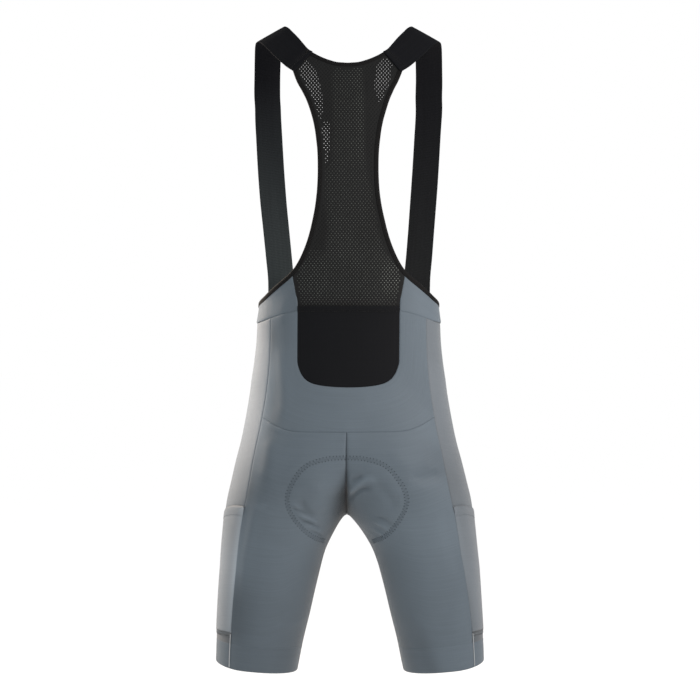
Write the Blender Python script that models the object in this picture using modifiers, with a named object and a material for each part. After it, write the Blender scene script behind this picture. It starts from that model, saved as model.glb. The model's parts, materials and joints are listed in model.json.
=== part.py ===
"""Cycling bib shorts in their worn, hollow form.

Frame: +X is the wearer's left, +Y the wearer's back, +Z up. The origin is
midway between the shoulders, level with the crests of the two straps.
Every size below is in millimetres and becomes metres when a mesh is made.

All panels lie on one smooth form. At each height z the form is a pair of
rounded outlines (one for each leg) that run together above the crotch.
"""
import math

import bmesh
import bpy
import numpy as np

NAME = "cycling_bib_shorts"

# cloth thicknesses
KNIT = 1.2  # grey body cloth
NET = 1.0  # open knit of the back
WEB = 1.6  # elastic shoulder strap
BIND = 2.4  # folded edge binding
TAPE = 0.8  # light trim
PAD = 8.0  # seat pad at its middle
PAD_RIM = 2.4
# sewing
SEAM = 0.3  # gap between two pieces
BIND_W = 6.5  # width of the binding that shows
BIND_OUT = 0.6  # binding stands proud of the cloth
LAP = 0.35  # gap below a piece that lies on a panel

# The form: out = half width, mid = centre of one leg outline, back and front =
# depths, nb and nf = squareness of the back and front halves, soft = how
# gently the two outlines run together.
FORM = (
    # z, out, mid, back, front, nb, nf, soft
    (-30, 202, 0, 60, 60, 2.4, 2.6, 0.05),
    (-55, 196, 0, 76, 72, 2.4, 2.6, 0.05),
    (-80, 190, 0, 88, 84, 2.4, 2.6, 0.05),
    (-120, 180, 0, 99, 100, 2.4, 2.6, 0.05),
    (-180, 165, 0, 104, 113, 2.4, 2.7, 0.05),
    (-240, 152, 0, 101, 113, 2.4, 2.8, 0.05),
    (-300, 142, 0, 93, 107, 2.4, 3.0, 0.05),
    (-355, 136, 0, 86, 100, 2.4, 3.1, 0.05),
    (-399, 134.3, 0, 82, 95, 2.4, 3.1, 0.05),
    (-429, 136.6, 0, 82, 94, 2.4, 3.0, 0.05),
    (-459, 138.0, 0, 84, 94, 2.4, 2.9, 0.05),
    (-489, 141, 0, 88, 95, 2.4, 2.8, 0.05),
    (-519, 145.5, 0, 94, 96, 2.4, 2.7, 0.1),
    (-549, 150, 10, 101, 96, 2.35, 2.6, 2),
    (-579, 155, 27, 107.5, 95.5, 2.3, 2.5, 6),
    (-609, 161, 46, 112, 95, 2.25, 2.4, 11),
    (-639, 168.8, 61, 114, 94.5, 2.2, 2.3, 14),
    (-669, 176, 75, 112, 94, 2.2, 2.25, 14),
    (-699, 183, 89, 105.5, 93.5, 2.2, 2.2, 11),
    (-720, 186, 96.5, 99, 92.5, 2.2, 2.2, 10),
    (-744, 188.5, 104.5, 93, 90.5, 2.2, 2.2, 10),
    (-774, 191.2, 113.5, 87.5, 87.5, 2.2, 2.2, 10),
    (-819, 194.6, 121.6, 81.5, 82.5, 2.2, 2.2, 8),
    (-864, 197.4, 128.4, 76, 77.5, 2.2, 2.2, 8),
    (-909, 199.8, 135.2, 71.5, 72.5, 2.2, 2.2, 8),
    (-965, 201.4, 141.6, 67.5, 68.5, 2.2, 2.2, 8),
)
SPINE = 45.0  # least distance of the section's pole from the middle plane

# back seam of the side panel
SIDE_SEAM = (
    # z, x
    (-400, 115.4), (-427, 115.2), (-479, 115.9), (-520, 118.9), (-575, 127),
    (-633, 139), (-686, 149), (-711, 154.1), (-759, 161.6), (-825, 169.1),
    (-879, 173.7), (-939, 176.8), (-965, 177.5),
)
# free edge of the armhole on the back, strap to waist
ARMHOLE = (
    # x, z
    (80.0, -66.0), (74.3, -81), (66.8, -95.6), (60.3, -110.1), (55.4, -124.7),
    (51.3, -139.2), (48.3, -153.8), (46.4, -168.4), (44.9, -183), (44.3, -197.5),
    (44.2, -212), (44.6, -226.5), (45.5, -241), (47.2, -255.7), (49.6, -270.2),
    (52.8, -284.8), (56.3, -299.3), (60.7, -313.9), (66.3, -328.5), (73.0, -342.5),
    (80.6, -354.5), (90.0, -364.2),
)
# free edge of the waist, from the back round the side to the front
WAIST_EDGE = (
    # angle round the pole in degrees, z
    (48.5, -373.0), (33, -387.5), (21.5, -396.5), (0, -404.5), (-32, -409),
    (-52, -412), (-80, -417), (-120, -420),
)
NECK = ((0, -53.2), (14, -52.2), (27, -48.6), (41.6, -42.2), (54.5, -34.5))  # x, z
NECK_X = (-54.1, -46.5, -36, -19, 0, 19, 36, 46.5, 54.1)  # places of the neck binding's sections
STRAP_SEAM = ((54.5, -34.5), (80.0, -66.0))  # neck end, armhole end: x, z
YOKE_SEAM = ((75, -416.6), (82, -417.9), (100, -422.2), (115, -427), (128, -431.2), (138, -434))  # x, z
YOKE_INNER = ((-340, 85), (-366, 82.0), (-407, 75.6), (-440, 75.2))  # z, x
POCKET_SIDE = ((-380, 75), (-489, 74.7), (-505.4, 70.4), (-515, 64.2))  # z, x
POCKET_LOW = ((0, -528.3), (16, -527.9), (34, -526.4), (49, -523.6), (57.5, -520.2), (64.2, -515))  # x, z
POCKET_TOP = -409.5
HIP_SEAM = ((0, -593.4), (41, -593), (70, -592.6), (85, -591), (105, -584.5), (123.5, -574), (130, -570))  # x, z
CARGO_TOP = (-702.0, -714.0, -726.0)  # at the back seam, the side and the front seam
CARGO_LOW = -890.5
BAND_Z, HEM_Z, HEM_TILT, HEM_MID = -909.8, -947.6, 0.085, 140.0

# shoulder strap: its outer and inner edge at each section
STRAP = (
    # outer x, y, z, inner x, y, z
    (90.2, 67.5, -57.5, 58.8, 53.5, -29.4),
    (99.2, 58.0, -49.0, 65.6, 43.0, -20.6),
    (109.4, 44.5, -38.5, 74.3, 30.0, -9.0),
    (119.5, 30.0, -27.0, 83.2, 18.5, 1.2),
    (129.0, 15.0, -16.5, 89.9, 9.0, 8.5),
    (136.0, 0.0, -11.2, 95.6, -1.0, 11.7),
    (139.4, -11.0, -11.9, 98.4, -12.0, 10.8),
    (141.3, -24.0, -18.0, 100.6, -27.0, 4.0),
    (142.3, -37.0, -30.5, 102.0, -42.5, -10.0),
    (143.1, -49.0, -49.0, 103.2, -56.5, -32.0),
    (143.8, -60.0, -76.0, 104.2, -70.5, -66.0),
    (143.5, -70.0, -110.0, 104.0, -84.0, -106.0),
    (141.7, -78.0, -150.0, 102.1, -95.0, -149.0),
    (139.4, -83.0, -195.0, 99.6, -102.0, -195.0),
    (136.2, -84.0, -241.0, 96.4, -104.0, -241.0),
    (131.9, -80.5, -287.0, 92.6, -101.8, -287.0),
    (127.8, -74.5, -331.0, 88.6, -97.2, -331.0),
    (124.2, -67.5, -371.0, 85.0, -92.2, -371.0),
)
STRAP_END = (122.0, 82.6)  # x of the two edges where the strap meets the front yoke
# seat pad: length along the middle of the seat, from the back, and half width
PAD_LINE = (
    # distance from the rear point, half width
    (0, 9), (4, 30), (10, 51), (19, 68), (31, 84), (45, 95), (60, 101), (75, 102),
    (90, 97), (105, 87), (121, 75), (138, 62), (158, 53), (184, 49), (212, 48),
    (234, 43), (248, 33), (257, 19), (261, 7),
)
PAD_REAR_Z = -630.0


# ---------------------------------------------------------------- curves
def curve(rows, x, key=0, val=1):
    """Value of a table at x: a smooth curve through its rows that never overshoots."""
    rows = sorted((r[key], r[val]) for r in rows)
    px = np.array([r[0] for r in rows], float)
    py = np.array([r[1] for r in rows], float)
    h = np.diff(px)
    d = np.diff(py) / h
    m = np.zeros_like(px)
    m[0], m[-1] = d[0], d[-1]
    for k in range(1, len(px) - 1):
        if d[k - 1] * d[k] > 0:
            w1, w2 = 2 * h[k] + h[k - 1], h[k] + 2 * h[k - 1]
            m[k] = (w1 + w2) / (w1 / d[k - 1] + w2 / d[k])
    x = np.clip(np.asarray(x, float), px[0], px[-1])
    k = np.clip(np.searchsorted(px, x) - 1, 0, len(h) - 1)
    t = (x - px[k]) / h[k]
    return (
        (1 + 2 * t) * (1 - t) ** 2 * py[k] + t * (1 - t) ** 2 * h[k] * m[k]
        + t * t * (3 - 2 * t) * py[k + 1] + t * t * (t - 1) * h[k] * m[k + 1]
    )


def form(z):
    return [curve(FORM, z, 0, c) for c in range(1, 8)]


def field(x, y, z):
    """Below zero inside the form, above zero outside it."""
    out, mid, back, front, nb, nf, soft = form(z)
    a = out - mid
    deep = np.where(y > 0, back, front)
    n = np.where(y > 0, nb, nf)

    def one(cx):
        r = ((np.abs(x - cx) / a) ** n + (np.abs(y) / deep) ** n) ** (1 / n)
        return (r - 1) * (a + deep) / 2

    f1, f2 = one(mid), one(-mid)
    low, gap = np.minimum(f1, f2), np.abs(f1 - f2)
    return low - soft * np.log1p(np.exp(-gap / soft)) + soft * math.log(2) * np.exp(-mid / 6)


def pole(z):
    return np.sqrt(form(z)[1] ** 2 + SPINE**2)


def at_angle(th, z):
    """Point of the form where a level ray from the pole at angle th leaves it."""
    th, z = np.broadcast_arrays(np.asarray(th, float), np.asarray(z, float))
    cx, ct, st = pole(z), np.cos(th), np.sin(th)
    # a ray towards the other leg stops at the middle plane
    lo, hi = np.zeros_like(z), np.where(ct < -1e-6, np.minimum(260.0, cx / np.maximum(-ct, 1e-6)), 260.0)
    for _ in range(40):
        m = (lo + hi) / 2
        inside = field(cx + m * ct, m * st, z) < 0
        lo, hi = np.where(inside, m, lo), np.where(inside, hi, m)
    return np.stack([cx + lo * ct, lo * st, z + 0 * lo], -1)


def at_xz(x, z, side=1):
    """Point of the back (side 1) or front (side -1) of the form at x and z."""
    x, z = np.broadcast_arrays(np.asarray(x, float), np.asarray(z, float))
    lo, hi = np.zeros_like(z), np.full_like(z, 200.0)
    for _ in range(40):
        m = (lo + hi) / 2
        inside = field(x, side * m, z) < 0
        lo, hi = np.where(inside, m, lo), np.where(inside, hi, m)
    return np.stack([x + 0 * z, side * lo, z + 0 * lo], -1)


def normal(p):
    e = 0.05
    g = np.stack([
        field(p[..., 0] + e, p[..., 1], p[..., 2]) - field(p[..., 0] - e, p[..., 1], p[..., 2]),
        field(p[..., 0], p[..., 1] + e, p[..., 2]) - field(p[..., 0], p[..., 1] - e, p[..., 2]),
        field(p[..., 0], p[..., 1], p[..., 2] + e) - field(p[..., 0], p[..., 1], p[..., 2] - e),
    ], -1) / (2 * e)
    return g


def unit(v):
    return v / np.linalg.norm(v, axis=-1, keepdims=True)


def settle(p):
    """Nearest point of the form to p."""
    for _ in range(8):
        g = normal(p)
        p = p - g * (field(p[..., 0], p[..., 1], p[..., 2]) / (g * g).sum(-1))[..., None]
    return p


def moved(p, d):
    """Points of a panel moved out by d, along the panel's own normal."""
    return p + unit(normal(p)) * np.asarray(d)[..., None] if np.ndim(d) else p + unit(normal(p)) * d


# ------------------------------------------------------------ seam lines
def crotch_z():
    lo, hi = -760.0, -680.0
    for _ in range(50):
        m = (lo + hi) / 2
        if field(np.array(0.0), np.array(0.0), np.array(m)) < 0:
            hi = m
        else:
            lo = m
    return hi


CROTCH = crotch_z()
HALF = SEAM / 2


def angle_of(x, z, side):
    p = at_xz(x, z, side)
    return np.arctan2(p[..., 1], p[..., 0] - pole(z))


def middle_angle(z, side):
    """Angle of the middle plane's seam above the crotch and of the inseam below it."""
    z = np.asarray(z, float)
    th = angle_of(np.full_like(z, HALF), z, side)
    stop = math.pi - HALF / np.maximum(pole(z) - np.maximum(form(z)[0] - 2 * (form(z)[0] - form(z)[1]), 0), 30)
    return side * np.minimum(np.abs(th), stop)


def seam_angle(z, side, shift=0.0):
    """Angle of the side panel's seam, moved shift mm towards the middle of the garment."""
    return angle_of(curve(SIDE_SEAM, z) - shift, z, side)


def solve_z(theta_at, z_of, z0):
    """z where the column theta_at(z) meets the line z_of(point)."""
    z = np.array(z0, float)
    for _ in range(14):
        z = z_of(at_angle(theta_at(z), z))
    return z


def band_line(base):
    return lambda p: base + HEM_TILT * (p[..., 0] - HEM_MID)


def yoke_low(p):
    return np.where(p[..., 1] > 0, curve(YOKE_SEAM, p[..., 0]), YOKE_SEAM[-1][1])


def hip_line(p):
    return curve(HIP_SEAM, p[..., 0])


def cargo_top(p):
    """The cargo pocket's slanting mouth, read from how far round the side the point is."""
    turn = p[..., 1] / np.interp(p[..., 2], (-740, -690), (62, 62))
    return np.interp(turn, (-1, 0, 1), (CARGO_TOP[2], CARGO_TOP[1], CARGO_TOP[0]))


# ---------------------------------------------------------- mesh helpers
def material(name, rgb, rough):
    m = bpy.data.materials.new(name)
    m.use_nodes = True
    b = m.node_tree.nodes["Principled BSDF"]
    b.inputs["Base Color"].default_value = (*rgb, 1)
    b.inputs["Roughness"].default_value = rough
    b.inputs["Metallic"].default_value = 0
    return m


GREY, DARK, BLACK, LIGHT, FOAM = (
    (0.135, 0.165, 0.195), (0.012, 0.013, 0.014), (0.01, 0.011, 0.012), (0.45, 0.46, 0.46), (0.05, 0.055, 0.06),
)
parts = None


def inside_of(grid, wall):
    """The grid moved into the form by wall, square to the form."""
    flat = np.abs(grid) * np.array([1, 0, 0]) + grid * np.array([0, 1, 1])
    nrm = unit(normal(flat)) * np.where(grid[..., :1] < 0, np.array([-1.0, 1, 1]), np.array([1.0, 1, 1]))
    nrm[..., 0] = np.where(np.abs(grid[..., 0]) < 0.01, 0, nrm[..., 0])
    return grid - unit(nrm) * wall


def shell(name, outer, inner, rgb, rough=0.7, mirror=False, ring=False):
    """A closed piece of cloth between its outer and inner grids of points."""
    o, i = np.array(outer, float), np.array(inner, float)
    if mirror:
        o, i = o * np.array([-1.0, 1, 1]), i * np.array([-1.0, 1, 1])
    n, m = o.shape[:2]
    off = n * m
    faces = []
    for r in range(n - 1):
        for c in range(m if ring else m - 1):
            q = (r * m + c, r * m + (c + 1) % m, (r + 1) * m + (c + 1) % m, (r + 1) * m + c)
            faces += [q, tuple(off + v for v in q[::-1])]
    if ring:
        loops = [[c for c in range(m)], [(n - 1) * m + c for c in range(m)][::-1]]
    else:
        loops = [[c for c in range(m)] + [r * m + m - 1 for r in range(1, n)]
                 + [(n - 1) * m + c for c in range(m - 2, -1, -1)] + [r * m for r in range(n - 2, 0, -1)]]
    for loop in loops:
        for a, b in zip(loop, loop[1:] + loop[:1]):
            faces.append((b, a, off + a, off + b))
    return mesh_object(name, np.vstack([o.reshape(-1, 3), i.reshape(-1, 3)]), faces, rgb, rough)


def mesh_object(name, pts, faces, rgb, rough):
    me = bpy.data.meshes.new(name)
    me.from_pydata([tuple(q * 0.001) for q in pts], [], faces)
    bm = bmesh.new()
    bm.from_mesh(me)
    bmesh.ops.recalc_face_normals(bm, faces=bm.faces)
    bm.to_mesh(me)
    bm.free()
    me.shade_smooth()
    me.materials.append(material(name + "_cloth", rgb, rough))
    ob = bpy.data.objects.new(name, me)
    parts.objects.link(ob)
    return ob


def sheet(name, grid, wall, rgb, rough=0.7, mirror=False, ring=False):
    """A panel of cloth: the wall lies inside the grid, which is its outer face."""
    return shell(name, grid, inside_of(np.array(grid, float), wall), rgb, rough, mirror, ring)


def ending(n, power=1.6):
    """Steps from 0 to 1 that get closer together towards the end."""
    return [1 - (1 - k / n) ** power for k in range(n + 1)]


def ribbon(name, grid, wall, rgb, rough, mirror):
    """A free band: an open surface with its wall built inwards."""
    g = grid * np.array([-1.0, 1, 1]) if mirror else grid
    n, m = g.shape[:2]
    faces = []
    for r in range(n - 1):
        for c in range(m - 1):
            q = (r * m + c, r * m + c + 1, (r + 1) * m + c + 1, (r + 1) * m + c)
            faces.append(q if mirror else q[::-1])
    me = bpy.data.meshes.new(name)
    me.from_pydata([tuple(q * 0.001) for q in g.reshape(-1, 3)], [], faces)
    me.shade_smooth()
    me.materials.append(material(name + "_cloth", rgb, rough))
    ob = bpy.data.objects.new(name, me)
    parts.objects.link(ob)
    sol = ob.modifiers.new("wall", "SOLIDIFY")
    sol.thickness = wall * 0.001
    sol.offset = -1
    return ob


def steps(n, power=1.0):
    return [(k / n) ** power for k in range(n + 1)]


def panel(theta_a, theta_b, z_bands, shares):
    """Grid of a panel on one side of the body. Its columns share the angle between the seams
    theta_a and theta_b, and its rows run between the lines of z_bands, each (line, start, steps)."""
    shares = np.array(shares, float)

    def theta_at(z):
        a, b = theta_a(z), theta_b(z)
        return a + (b - a) * shares

    lines = [solve_z(theta_at, line, np.full(shares.shape, float(start))) for line, start, _ in z_bands]
    rows = [lines[0]]
    for k in range(1, len(lines)):
        for t in z_bands[k][2][1:]:
            rows.append(lines[k - 1] + (lines[k] - lines[k - 1]) * t)
    return np.array([at_angle(theta_at(z), z) for z in rows])


def level(z):
    return lambda p: np.full(p.shape[:-1], float(z))


def shifted(line, d):
    return lambda p: line(p) + d


# --------------------------------------------------------------- edges
def edge_run():
    """Free edge from the strap down the armhole and round the waist to the centre front."""
    a = np.array(ARMHOLE, float)
    back = at_xz(a[:, 0], a[:, 1], 1)
    th = np.radians(np.concatenate([
        np.linspace(45, 0, 10), np.linspace(-6, -34.5, 6)]))
    waist = at_angle(th, curve(WAIST_EDGE, np.degrees(th)))
    return np.vstack([back, waist])


def front_run():
    th = np.radians(np.linspace(-69, -110, 6))
    side = at_angle(th, curve(WAIST_EDGE, np.degrees(th)))
    return side[side[:, 0] > 3]


def inward(path, width, down):
    """The other side of a binding: the path moved by width across the form's surface."""
    t = np.gradient(path, axis=0)
    b = unit(np.cross(unit(normal(path)), unit(t)))
    if (b * np.asarray(down)).sum() < 0:
        b = -b
    return settle(path + b * width)


def neck_low():
    """Lower edge of the neck binding: x, z."""
    pts = []
    for x in NECK_X:
        k = abs(x) / NECK_X[-1]
        pts.append((x + math.copysign(4.3 * k**3, x), float(curve(NECK, abs(x))) - BIND_W + 1.2 * k**3))
    return pts


def strap_seam_points(d):
    """Point on the strap seam, d mm from its armhole end."""
    (nx, nz), (ax, az) = STRAP_SEAM
    k = d / math.hypot(nx - ax, nz - az)
    return ax + (nx - ax) * k, az + (nz - az) * k


def leg_angles(z, shares):
    """Angles of the leg panel's columns, from the side seam to the middle or the inseam."""
    a, b = seam_angle(z, 1, HALF), middle_angle(z, 1)
    return a + (b - a) * np.array(shares, float)


def build():
    global parts
    for ob in list(bpy.data.objects):
        bpy.data.objects.remove(ob, do_unlink=True)
    parts = bpy.data.collections.new(NAME)
    bpy.context.scene.collection.children.link(parts)

    # ---- edge bindings
    edge = edge_run()
    rim_in = inward(edge, BIND_W, (0, 0, -1))
    sx, sz = strap_seam_points(BIND_W)
    rim_in[0] = at_xz(sx, sz, 1)
    edge_grid = np.stack([moved(edge, BIND_OUT), moved(rim_in, BIND_OUT)])
    cloth_line = inward(edge, BIND_W + SEAM, (0, 0, -1))
    front = front_run()
    mirrored = front[::-1] * np.array([-1, 1, 1])
    centre = at_xz(0.0, curve(WAIST_EDGE, -116.5), -1)[None]
    across = np.vstack([front, centre, mirrored])

    def half(fn, p, *a):
        q = fn(np.abs(p) * np.array([1, 0, 0]) + p * np.array([0, 1, 1]), *a)
        return q * np.where(p[..., :1] < 0, np.array([-1, 1, 1]), np.array([1, 1, 1]))

    front_low = across.copy()
    front_low[:, 2] -= BIND_W
    front_low = at_xz(np.abs(front_low[:, 0]), front_low[:, 2], -1)
    front_low[:, 0] = across[:, 0]
    front_grid = np.stack([half(moved, across, BIND_OUT), half(moved, front_low, BIND_OUT)])

    # z of the yoke's top at each angle, from the bindings' lower edges
    low_a = cloth_line[len(ARMHOLE) - 4:]
    keep = [(math.degrees(math.atan2(p[1], p[0] - pole(p[2]))), p[2] - HALF) for p in low_a]
    for deg in (-44, -56):
        keep.append((deg, float(curve(WAIST_EDGE, deg)) - BIND_W - SEAM))
    for p in front_low[: len(front) + 1]:
        keep.append((math.degrees(math.atan2(p[1], p[0] - float(pole(p[2])))), p[2] - SEAM))
    top_of = lambda p: curve(keep, np.degrees(np.arctan2(p[..., 1], p[..., 0] - pole(p[..., 2]))))

    # ---- back net
    arm = cloth_line[: len(ARMHOLE) - 1]
    corner_x = float(curve(YOKE_INNER, -366))
    arm = arm[arm[:, 0] < 90]
    side_rows = [(p[0], p[2]) for p in arm[1:] if p[2] > -366]
    side_rows = [strap_seam_points(BIND_W + SEAM)] + side_rows
    for z in (-367.5, -380, -394, POCKET_TOP, -430, -450, -470):
        side_rows.append((float(curve(YOKE_INNER, z) if z > POCKET_TOP - 1 else curve(POCKET_SIDE, z)) - HALF, z))
    for z in (-490, -499, -507.5, -515):
        side_rows.append((float(curve(POCKET_SIDE, z)) - HALF, z))
    share = np.array([-1.0] + [q[0] / side_rows[0][0] for q in neck_low()] + [1.0])
    tops = [(x, z - SEAM) for x, z in neck_low()[4:]] + [side_rows[0]]
    slant = 0.16  # the net's first row stays clear of the strap seam
    rows = []
    n = len(side_rows)
    z0, zn = side_rows[0][1] - slant, side_rows[-1][1]
    for i, (xs, zs) in enumerate(side_rows):
        zs = zs - slant if i == 0 else zs
        up = max(0.0, 1 - (z0 - zs) / 95.0) ** 2
        dn = max(0.0, 1 - (zs - zn) / 70.0) ** 2
        line_x = np.abs(share) * side_rows[0][0]
        top = np.interp(line_x, [t[0] for t in tops], [t[1] for t in tops])
        z = zs + (top - side_rows[0][1]) * up + (curve(POCKET_LOW, np.abs(share) * 64.2) + 0 - zn) * dn
        x = np.abs(share) * xs
        p = at_xz(x, z, 1)
        sink = -1.8 * np.clip((-392 - z) / 15.0, 0, 1)
        p = p + unit(normal(p)) * sink[..., None]
        p[..., 0] *= np.where(share < 0, -1, 1)
        rows.append(p)
    net = np.array(rows)
    sheet("back_mesh", net, NET, BLACK, 0.85)

    # ---- rear pocket, over the lower end of the net
    first = [i for i, r in enumerate(side_rows) if r[1] <= POCKET_TOP + 0.01][0]
    rows = []
    for i in range(first, n):
        xs, zs = side_rows[i]
        dn = max(0.0, 1 - (zs - zn) / 70.0) ** 2
        z = zs + (curve(POCKET_LOW, np.abs(share) * 64.2) - zn) * dn
        p = at_xz(np.abs(share) * xs, z, 1)
        p[..., 0] *= np.where(share < 0, -1, 1)
        rows.append(p)
    sheet("rear_pocket", np.array(rows), KNIT, DARK, 0.8)

    # ---- neck binding, strap to strap
    xs = np.array(NECK_X)
    top = at_xz(np.abs(xs), curve(NECK, np.abs(xs)), 1)
    low_x, low_z = np.array(neck_low()).T
    low = at_xz(np.abs(low_x), low_z, 1)
    grid = np.stack([moved(top, BIND_OUT), moved(low, BIND_OUT)])
    grid[..., 0] *= np.where(xs < 0, -1, 1)
    sheet("neck_binding", grid, BIND, BLACK, 0.75)
    sheet("front_binding", front_grid, BIND, BLACK, 0.75)

    # ---- back hip panel, a U between the side seams round the pocket
    leg_cols = [0, .14, .28, .42, .55, .67, .78, .87, .94, 1]
    seat_line = solve_z(lambda z: leg_angles(z, leg_cols), shifted(hip_line, HALF), np.full(len(leg_cols), -590.0))
    seat = at_angle(leg_angles(seat_line, leg_cols), seat_line)
    side_part = [(float(curve(POCKET_SIDE, z)) + SEAM, z) for z in (-417.2, -441, -465, -489, -499, -507.5, -515)]
    low_part = [(x, float(curve(POCKET_LOW, x)) - SEAM) for x in (62, 57.5, 51.5, 44, 35.5, 26, 17.5, 8.5, 0)]
    inner = np.array(side_part + low_part)
    z_side = (-427.0, -458, -490, -522, -548, -563)
    outer = [(float(curve(SIDE_SEAM, z)) - HALF, z) for z in z_side]
    outer += [(p[0] - (SEAM if k == 0 else 0), p[2]) for k, p in enumerate(seat)]
    outer = np.array(outer)
    outer[-1, 0] = 0
    inner[0, 1] -= HALF + 0.1
    outer[0, 1] -= HALF + 0.1
    grid = []
    for t in steps(4):
        q = inner + (outer - inner) * t
        line = at_xz(q[:, 0], q[:, 1], 1)
        other = line[:-1][::-1] * np.array([-1, 1, 1])
        grid.append(np.vstack([line, other]))
    sheet("back_hip", np.array(grid), KNIT, GREY)

    for tag, flip in (("L", False), ("R", True)):
        # ---- binding of armhole and waist
        sheet("edge_binding_" + tag, edge_grid, BIND, BLACK, 0.75, flip)

        # ---- upper waist
        inner_edge = lambda z: angle_of(curve(YOKE_INNER, z) + HALF, z, 1)
        cols = [0.0]
        for deg, z in keep:
            a, b, th = float(inner_edge(z)), float(middle_angle(z, -1)), math.radians(deg)
            if 0.02 < (th - a) / (b - a) < 0.98:
                cols.append((th - a) / (b - a))
        grid = panel(inner_edge, lambda z: middle_angle(z, -1),
                     [(top_of, -400, None), (shifted(yoke_low, HALF), -430, steps(2))], sorted(cols) + [1.0])
        sheet("waist_yoke_" + tag, grid, KNIT, GREY, 0.7, flip)

        # ---- side panel and the cargo pocket that covers its middle
        seam_b = lambda z: seam_angle(z, 1, -HALF)
        seam_f = lambda z: seam_angle(z, -1, -HALF)
        cols = [0, .17, .34, .5, .66, .83, 1]
        grid = panel(seam_b, seam_f, [
            (shifted(yoke_low, -HALF - 0.15), -433, None),
            (cargo_top, -714, steps(12)),
            (level(CARGO_LOW), CARGO_LOW, steps(9)),
            (shifted(band_line(BAND_Z), HALF), BAND_Z, steps(1)),
        ], cols)
        sheet("side_" + tag, grid, KNIT, GREY, 0.7, flip)
        sheet("thigh_pocket_" + tag, moved(grid[12:22], LAP + KNIT), KNIT, GREY, 0.7, flip)

        # ---- seat and back of the leg
        up = ending(9)
        down = steps(10)
        cols = leg_cols
        grid = panel(lambda z: seam_angle(z, 1, HALF), lambda z: middle_angle(z, 1), [
            (shifted(hip_line, -HALF), -590, None),
            (level(CROTCH), CROTCH, up),
            (shifted(band_line(BAND_Z), HALF), BAND_Z, down),
        ], cols)
        sheet("leg_back_" + tag, grid, KNIT, GREY, 0.7, flip)

        # ---- front of trunk and leg
        cols = [0, .17, .34, .5, .65, .79, .91, 1]
        grid = panel(lambda z: seam_angle(z, -1, HALF), lambda z: middle_angle(z, -1), [
            (shifted(yoke_low, -HALF), -436, None),
            (level(CROTCH), CROTCH, ending(15)),
            (shifted(band_line(BAND_Z), HALF), BAND_Z, down),
        ], cols)
        sheet("front_" + tag, grid, KNIT, GREY, 0.7, flip)

        # ---- hem band, a ring
        th = np.linspace(0, 2 * math.pi, 24, endpoint=False)
        rows = [solve_z(lambda z: th, shifted(band_line(BAND_Z), -HALF), np.full(th.shape, BAND_Z)),
                solve_z(lambda z: th, band_line(HEM_Z), np.full(th.shape, HEM_Z))]
        grid = np.array([at_angle(th, rows[0] + (rows[1] - rows[0]) * t) for t in steps(2)])
        sheet("leg_band_" + tag, grid, KNIT, GREY, 0.7, flip, ring=True)

        # ---- light trim down the side seam
        zs = np.linspace(CARGO_LOW - 1.5, -943, 5)
        x = curve(SIDE_SEAM, zs)
        a = at_angle(seam_angle(zs, 1, -0.4), zs)
        b = at_angle(seam_angle(zs, 1, -0.4) - 3.0 / 62, zs)
        sheet("seam_tape_" + tag, moved(np.stack([a, b]), LAP + TAPE), TAPE, LIGHT, 0.5, flip)

        # ---- shoulder strap
        s = np.array(STRAP, float)
        outer, inner = s[:, :3], s[:, 3:]
        d = 0.7
        ax, az = STRAP_SEAM[1]
        nx, nz = STRAP_SEAM[0]
        first = np.array([at_xz(ax, az, 1) + np.array([d * .75, 0, d * .66]),
                          at_xz(nx, nz, 1) + np.array([d * .75, 0, d * .66])])
        cols = np.linspace(0, 1, 4)
        grid = [first[0] + (first[1] - first[0]) * c for c in cols]
        grid = [np.array(grid)]
        for o, i in zip(outer, inner):
            grid.append(np.array([o + (i - o) * c for c in cols]))
        xe = STRAP_END[0] + (STRAP_END[1] - STRAP_END[0]) * cols
        th = angle_of(xe, np.full_like(xe, -412.0), -1)
        ze = curve(keep, np.degrees(th)) + SEAM + 0.1
        grid.append(moved(at_xz(xe, ze, -1), 0.4))
        ribbon("strap_" + tag, np.array(grid), WEB, BLACK, 0.8, flip)

    # ---- seat pad, inside the seat and between the legs
    def mid_line(n):
        """Points of the seat in the middle plane, from the back down through the crotch and up the front."""
        dense = []
        for side, zz in ((1, np.linspace(PAD_REAR_Z, CROTCH + 0.02, 160)), (-1, np.linspace(CROTCH + 0.02, -600, 160))):
            dense.append(at_xz(np.zeros_like(zz), zz, side))
        dense = np.vstack(dense)
        # more points across the flat underside
        a, b = dense[159], dense[160]
        ys = np.linspace(a[1], b[1], 30)[1:-1]
        fill = []
        for y in ys:
            lo, hi = CROTCH - 20, CROTCH + 40
            for _ in range(40):
                m = (lo + hi) / 2
                if field(np.array(0.0), np.array(y), np.array(m)) < 0:
                    hi = m
                else:
                    lo = m
            fill.append((0, y, hi))
        dense = np.vstack([dense[:160], fill, dense[160:]])
        s = np.concatenate([[0], np.cumsum(np.linalg.norm(np.diff(dense, axis=0), axis=1))])
        return dense, s

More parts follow.
